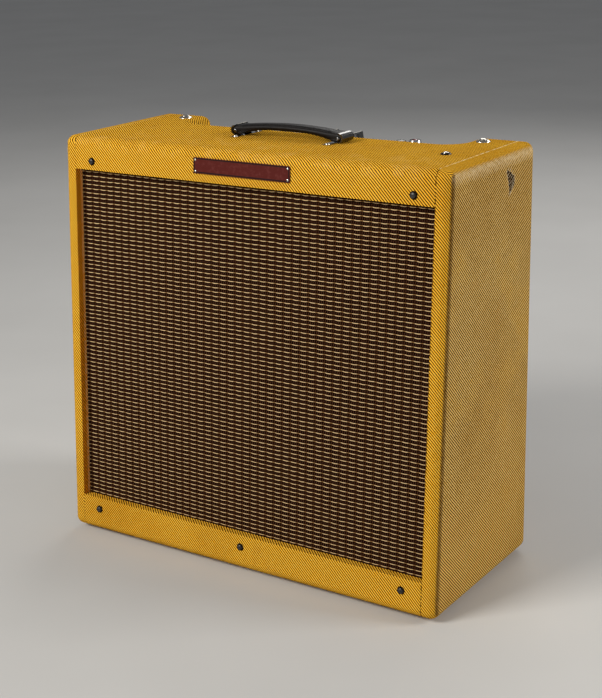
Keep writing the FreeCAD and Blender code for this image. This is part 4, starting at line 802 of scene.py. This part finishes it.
def torn_threads():
    """Loose threads across and round the torn patch on the right side."""
    chance = random.Random(5)
    recipe = Recipe("torn_thread", Roughness=0.8, Specular_IOR_Level=0.2)
    recipe.set("Base Color", recipe.ramp(recipe.noise(0.8, 3.0), (0.35, srgb(170, 140, 94)),
                                         (0.65, srgb(242, 228, 194))))
    recipe.bump(recipe.noise(3.0, 2.0), 0.3, 0.1)
    shape = bmesh.new()
    strands = 10
    for number in range(strands):
        share = 0.05 + 0.9 * number / (strands - 1) + chance.uniform(-0.02, 0.02)
        middle = tear_middle(share)
        half = 2.0 + 7.5 * math.sin(math.pi * share) ** 0.7
        height = TEAR_LOW + share * (TEAR_HIGH - TEAR_LOW)
        slope = chance.uniform(0.5, 1.0)
        reach = chance.choice((1.0, 1.0, 0.35, 0.6))
        points = []
        for step in range(9):
            along = -1 + (1 + reach) * step / 8
            sag = chance.uniform(-0.15, 0.15)
            out = 0.25 + 0.5 * (1 - along ** 2) + sag * 0.4
            points.append(Vector((SIDE + out * MM, (middle + half * along + sag) * MM,
                                  (height + slope * half * along - 0.8 * (1 - along ** 2)) * MM)))
        thread(shape, points, chance.uniform(0.17, 0.32) * MM, 5)
    fill(piece("torn_threads", recipe), shape)


torn_threads()


# ---------------------------------------------------------------- control panel

KNOBS = sorted(name for name in nodes if name.startswith("knob_"))
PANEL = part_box("chassis")[1].z
TURNS = [joint for joint in frame["record"]["behaviour"]["joints"]
         if joint["name"].endswith("_turn")]
KNOB_LINE = TURNS[0]["pos_m"][1]                    # how far back the row of knobs lies
DIAL = 16.2 * MM                                    # radius of the ring of numbers


def pointer_lines():
    """A white line inlaid along the top of each knob's pointer."""
    recipe = Recipe("pointer_white", Roughness=0.45)
    recipe.set("Base Color", recipe.ramp(recipe.noise(0.9, 4.0), (0.3, srgb(196, 190, 172)),
                                         (0.6, srgb(236, 232, 220))))
    for name in KNOBS:
        low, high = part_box(name)
        x = (low.x + high.x) / 2
        front, rear = pointer_span(name, high)
        shape = bmesh.new()
        rings = []
        for y, half, rise in ((front, 0.35, -0.5), (front + 0.3 * MM, 0.45, 0.12),
                              (rear - 0.3 * MM, 0.45, 0.12), (rear, 0.35, -0.5)):
            rings.append([Vector((x + side * half * MM, y, high.z + level * MM))
                          for side, level in ((-1, -0.6), (1, -0.6), (1, rise), (-1, rise))])
        skin_rings(shape, rings)
        fill(piece("line_" + name, recipe, name.replace("knob_", "") + "_knob"), shape,
             smooth=False)


def pointer_span(name, high):
    """Where a knob's flat top begins and ends along Y."""
    tops = [vertex.co.y for vertex in nodes[name].data.vertices if vertex.co.z > high.z - 0.3 * MM]
    return min(tops) + 0.8 * MM, max(tops) - 0.8 * MM


def dial_numbers():
    """Numbers 1 to 12 round each knob, read from behind the amplifier."""
    recipe = Recipe("panel_print", Roughness=0.5)
    recipe.set("Base Color", recipe.ramp(recipe.noise(0.4, 4.0), (0.35, srgb(24, 22, 22)),
                                         (0.7, srgb(58, 54, 52))))
    depsgraph = bpy.context.evaluated_depsgraph_get
    shape = bmesh.new()
    for number in range(1, 13):
        text = bpy.data.curves.new("digits", "FONT")
        text.body = str(number)
        text.size = 3.1 * MM
        text.align_x, text.align_y = "CENTER", "CENTER"
        text.resolution_u = 3
        holder = bpy.data.objects.new("digits", text)
        bpy.context.scene.collection.objects.link(holder)
        flat = bpy.data.meshes.new_from_object(holder.evaluated_get(depsgraph()))
        bpy.data.objects.remove(holder)
        turn = math.radians(-150 + 300 * (number - 1) / 11)
        for name in KNOBS:
            low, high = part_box(name)
            middle = Vector(((low.x + high.x) / 2, KNOB_LINE, PANEL + 0.04 * MM))
            place = middle + DIAL * Vector((-math.sin(turn), -math.cos(turn), 0))
            before = set(shape.verts)
            shape.from_mesh(flat)
            bmesh.ops.transform(shape, verts=[v for v in shape.verts if v not in before],
                                matrix=Matrix.Translation(place) @ Matrix.Rotation(math.pi, 4, "Z"))
        bpy.data.meshes.remove(flat)
    numbers = piece("dial_numbers", recipe)
    shape.to_mesh(numbers.data)
    shape.free()


pointer_lines()
dial_numbers()


# ---------------------------------------------------------------- valves and lamp

def blown_glass():
    recipe = Recipe("blown_glass", Transmission_Weight=0.92, Roughness=0.03, IOR=1.45)
    silver = recipe.ramp(recipe.noise(0.15, 3.0), (0.4, srgb(150, 152, 156)),
                         (0.6, srgb(92, 94, 100)))
    tip = recipe.map(recipe.place()[2], GETTER_LOW, GETTER_HIGH, 1.0, 0.0)
    recipe.set("Base Color", recipe.blend(tip, (0.86, 0.88, 0.87), silver))
    recipe.set("Metallic", recipe.math("MULTIPLY", tip, 0.9))
    return recipe.bump(recipe.noise(0.05, 2.0), 0.05, 0.3)


def valve_parts(name, base_share, neck):
    """Glass, base and inner works for each valve that hangs in a node."""
    shapes = {"glass": bmesh.new(), "base": bmesh.new(), "works": bmesh.new()}
    for low, high in islands(name, 0):
        middle = (low + high) / 2
        radius = (high.x - low.x) / 2
        tall = high.z - low.z
        foot = Vector((middle.x, middle.y, low.z))
        shoulder = tall * (1 - base_share)
        dome = [(0.12, 0), (0.3, 0.006), (0.62, 0.035), (0.86, 0.09), (0.97, 0.17), (0.99, 0.3)]
        lathe(shapes["glass"], [*((radius * share, tall * rise) for share, rise in dome),
                                (radius * 0.99, shoulder * 0.82), (radius * neck, shoulder),
                                (radius * neck, shoulder + 2 * MM)], foot)
        skirt = radius * (neck + 0.03)
        socketed = radius * neck * 0.9
        lathe(shapes["base"], [(socketed, shoulder + 0.5 * MM), (skirt, shoulder + 0.5 * MM),
                               (skirt, tall - 2 * MM), (socketed, tall)], foot)
        for level in (0.2, 0.78):
            under = shoulder * level
            over = under + 0.5 * MM
            lathe(shapes["works"], [(radius * 0.2, under), (radius * 0.84, under),
                                    (radius * 0.84, over), (radius * 0.2, over)], foot)
        for share in (0.55, 0.3):
            inner, outer = radius * share, radius * share * 1.04
            lathe(shapes["works"], [(inner, shoulder * 0.2), (outer, shoulder * 0.24),
                                    (inner, shoulder * 0.28), (inner, shoulder * 0.7),
                                    (outer, shoulder * 0.74), (inner, shoulder * 0.78)], foot, 12)
    return shapes


GETTER_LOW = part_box("octal_tubes")[0].z / MM + 4
GETTER_HIGH = GETTER_LOW + 12


def fit_valves():
    glass = blown_glass()
    plate_grey = plated("valve_plate", srgb(92, 94, 98), 0.5, 0.8)
    base_black = moulded("valve_base", srgb(22, 18, 17), 0.35)
    for name, share, neck in (("octal_tubes", 0.16, 0.9), ("preamp_tubes", 0.05, 0.94)):
        shapes = valve_parts(name, share, neck)
        fill(piece(name + "_works", plate_grey), shapes["works"])
        fill(piece(name + "_bases", base_black), shapes["base"])
        envelopes = fill(piece(name + "_glass", glass), shapes["glass"])
        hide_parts(name)


def red_glass():
    recipe = Recipe("red_glass", Transmission_Weight=0.55, Roughness=0.06, IOR=1.5,
                    Coat_Weight=0.3)
    swirl = recipe.noise(0.3, 3.0)
    recipe.set("Base Color", recipe.ramp(swirl, (0.3, srgb(96, 4, 6)), (0.7, srgb(150, 10, 12))))
    return recipe.bump(recipe.noise(0.9, 2.0), 0.2, 0.1)


fit_valves()
finish_with(red_glass(), "pilot_jewel")
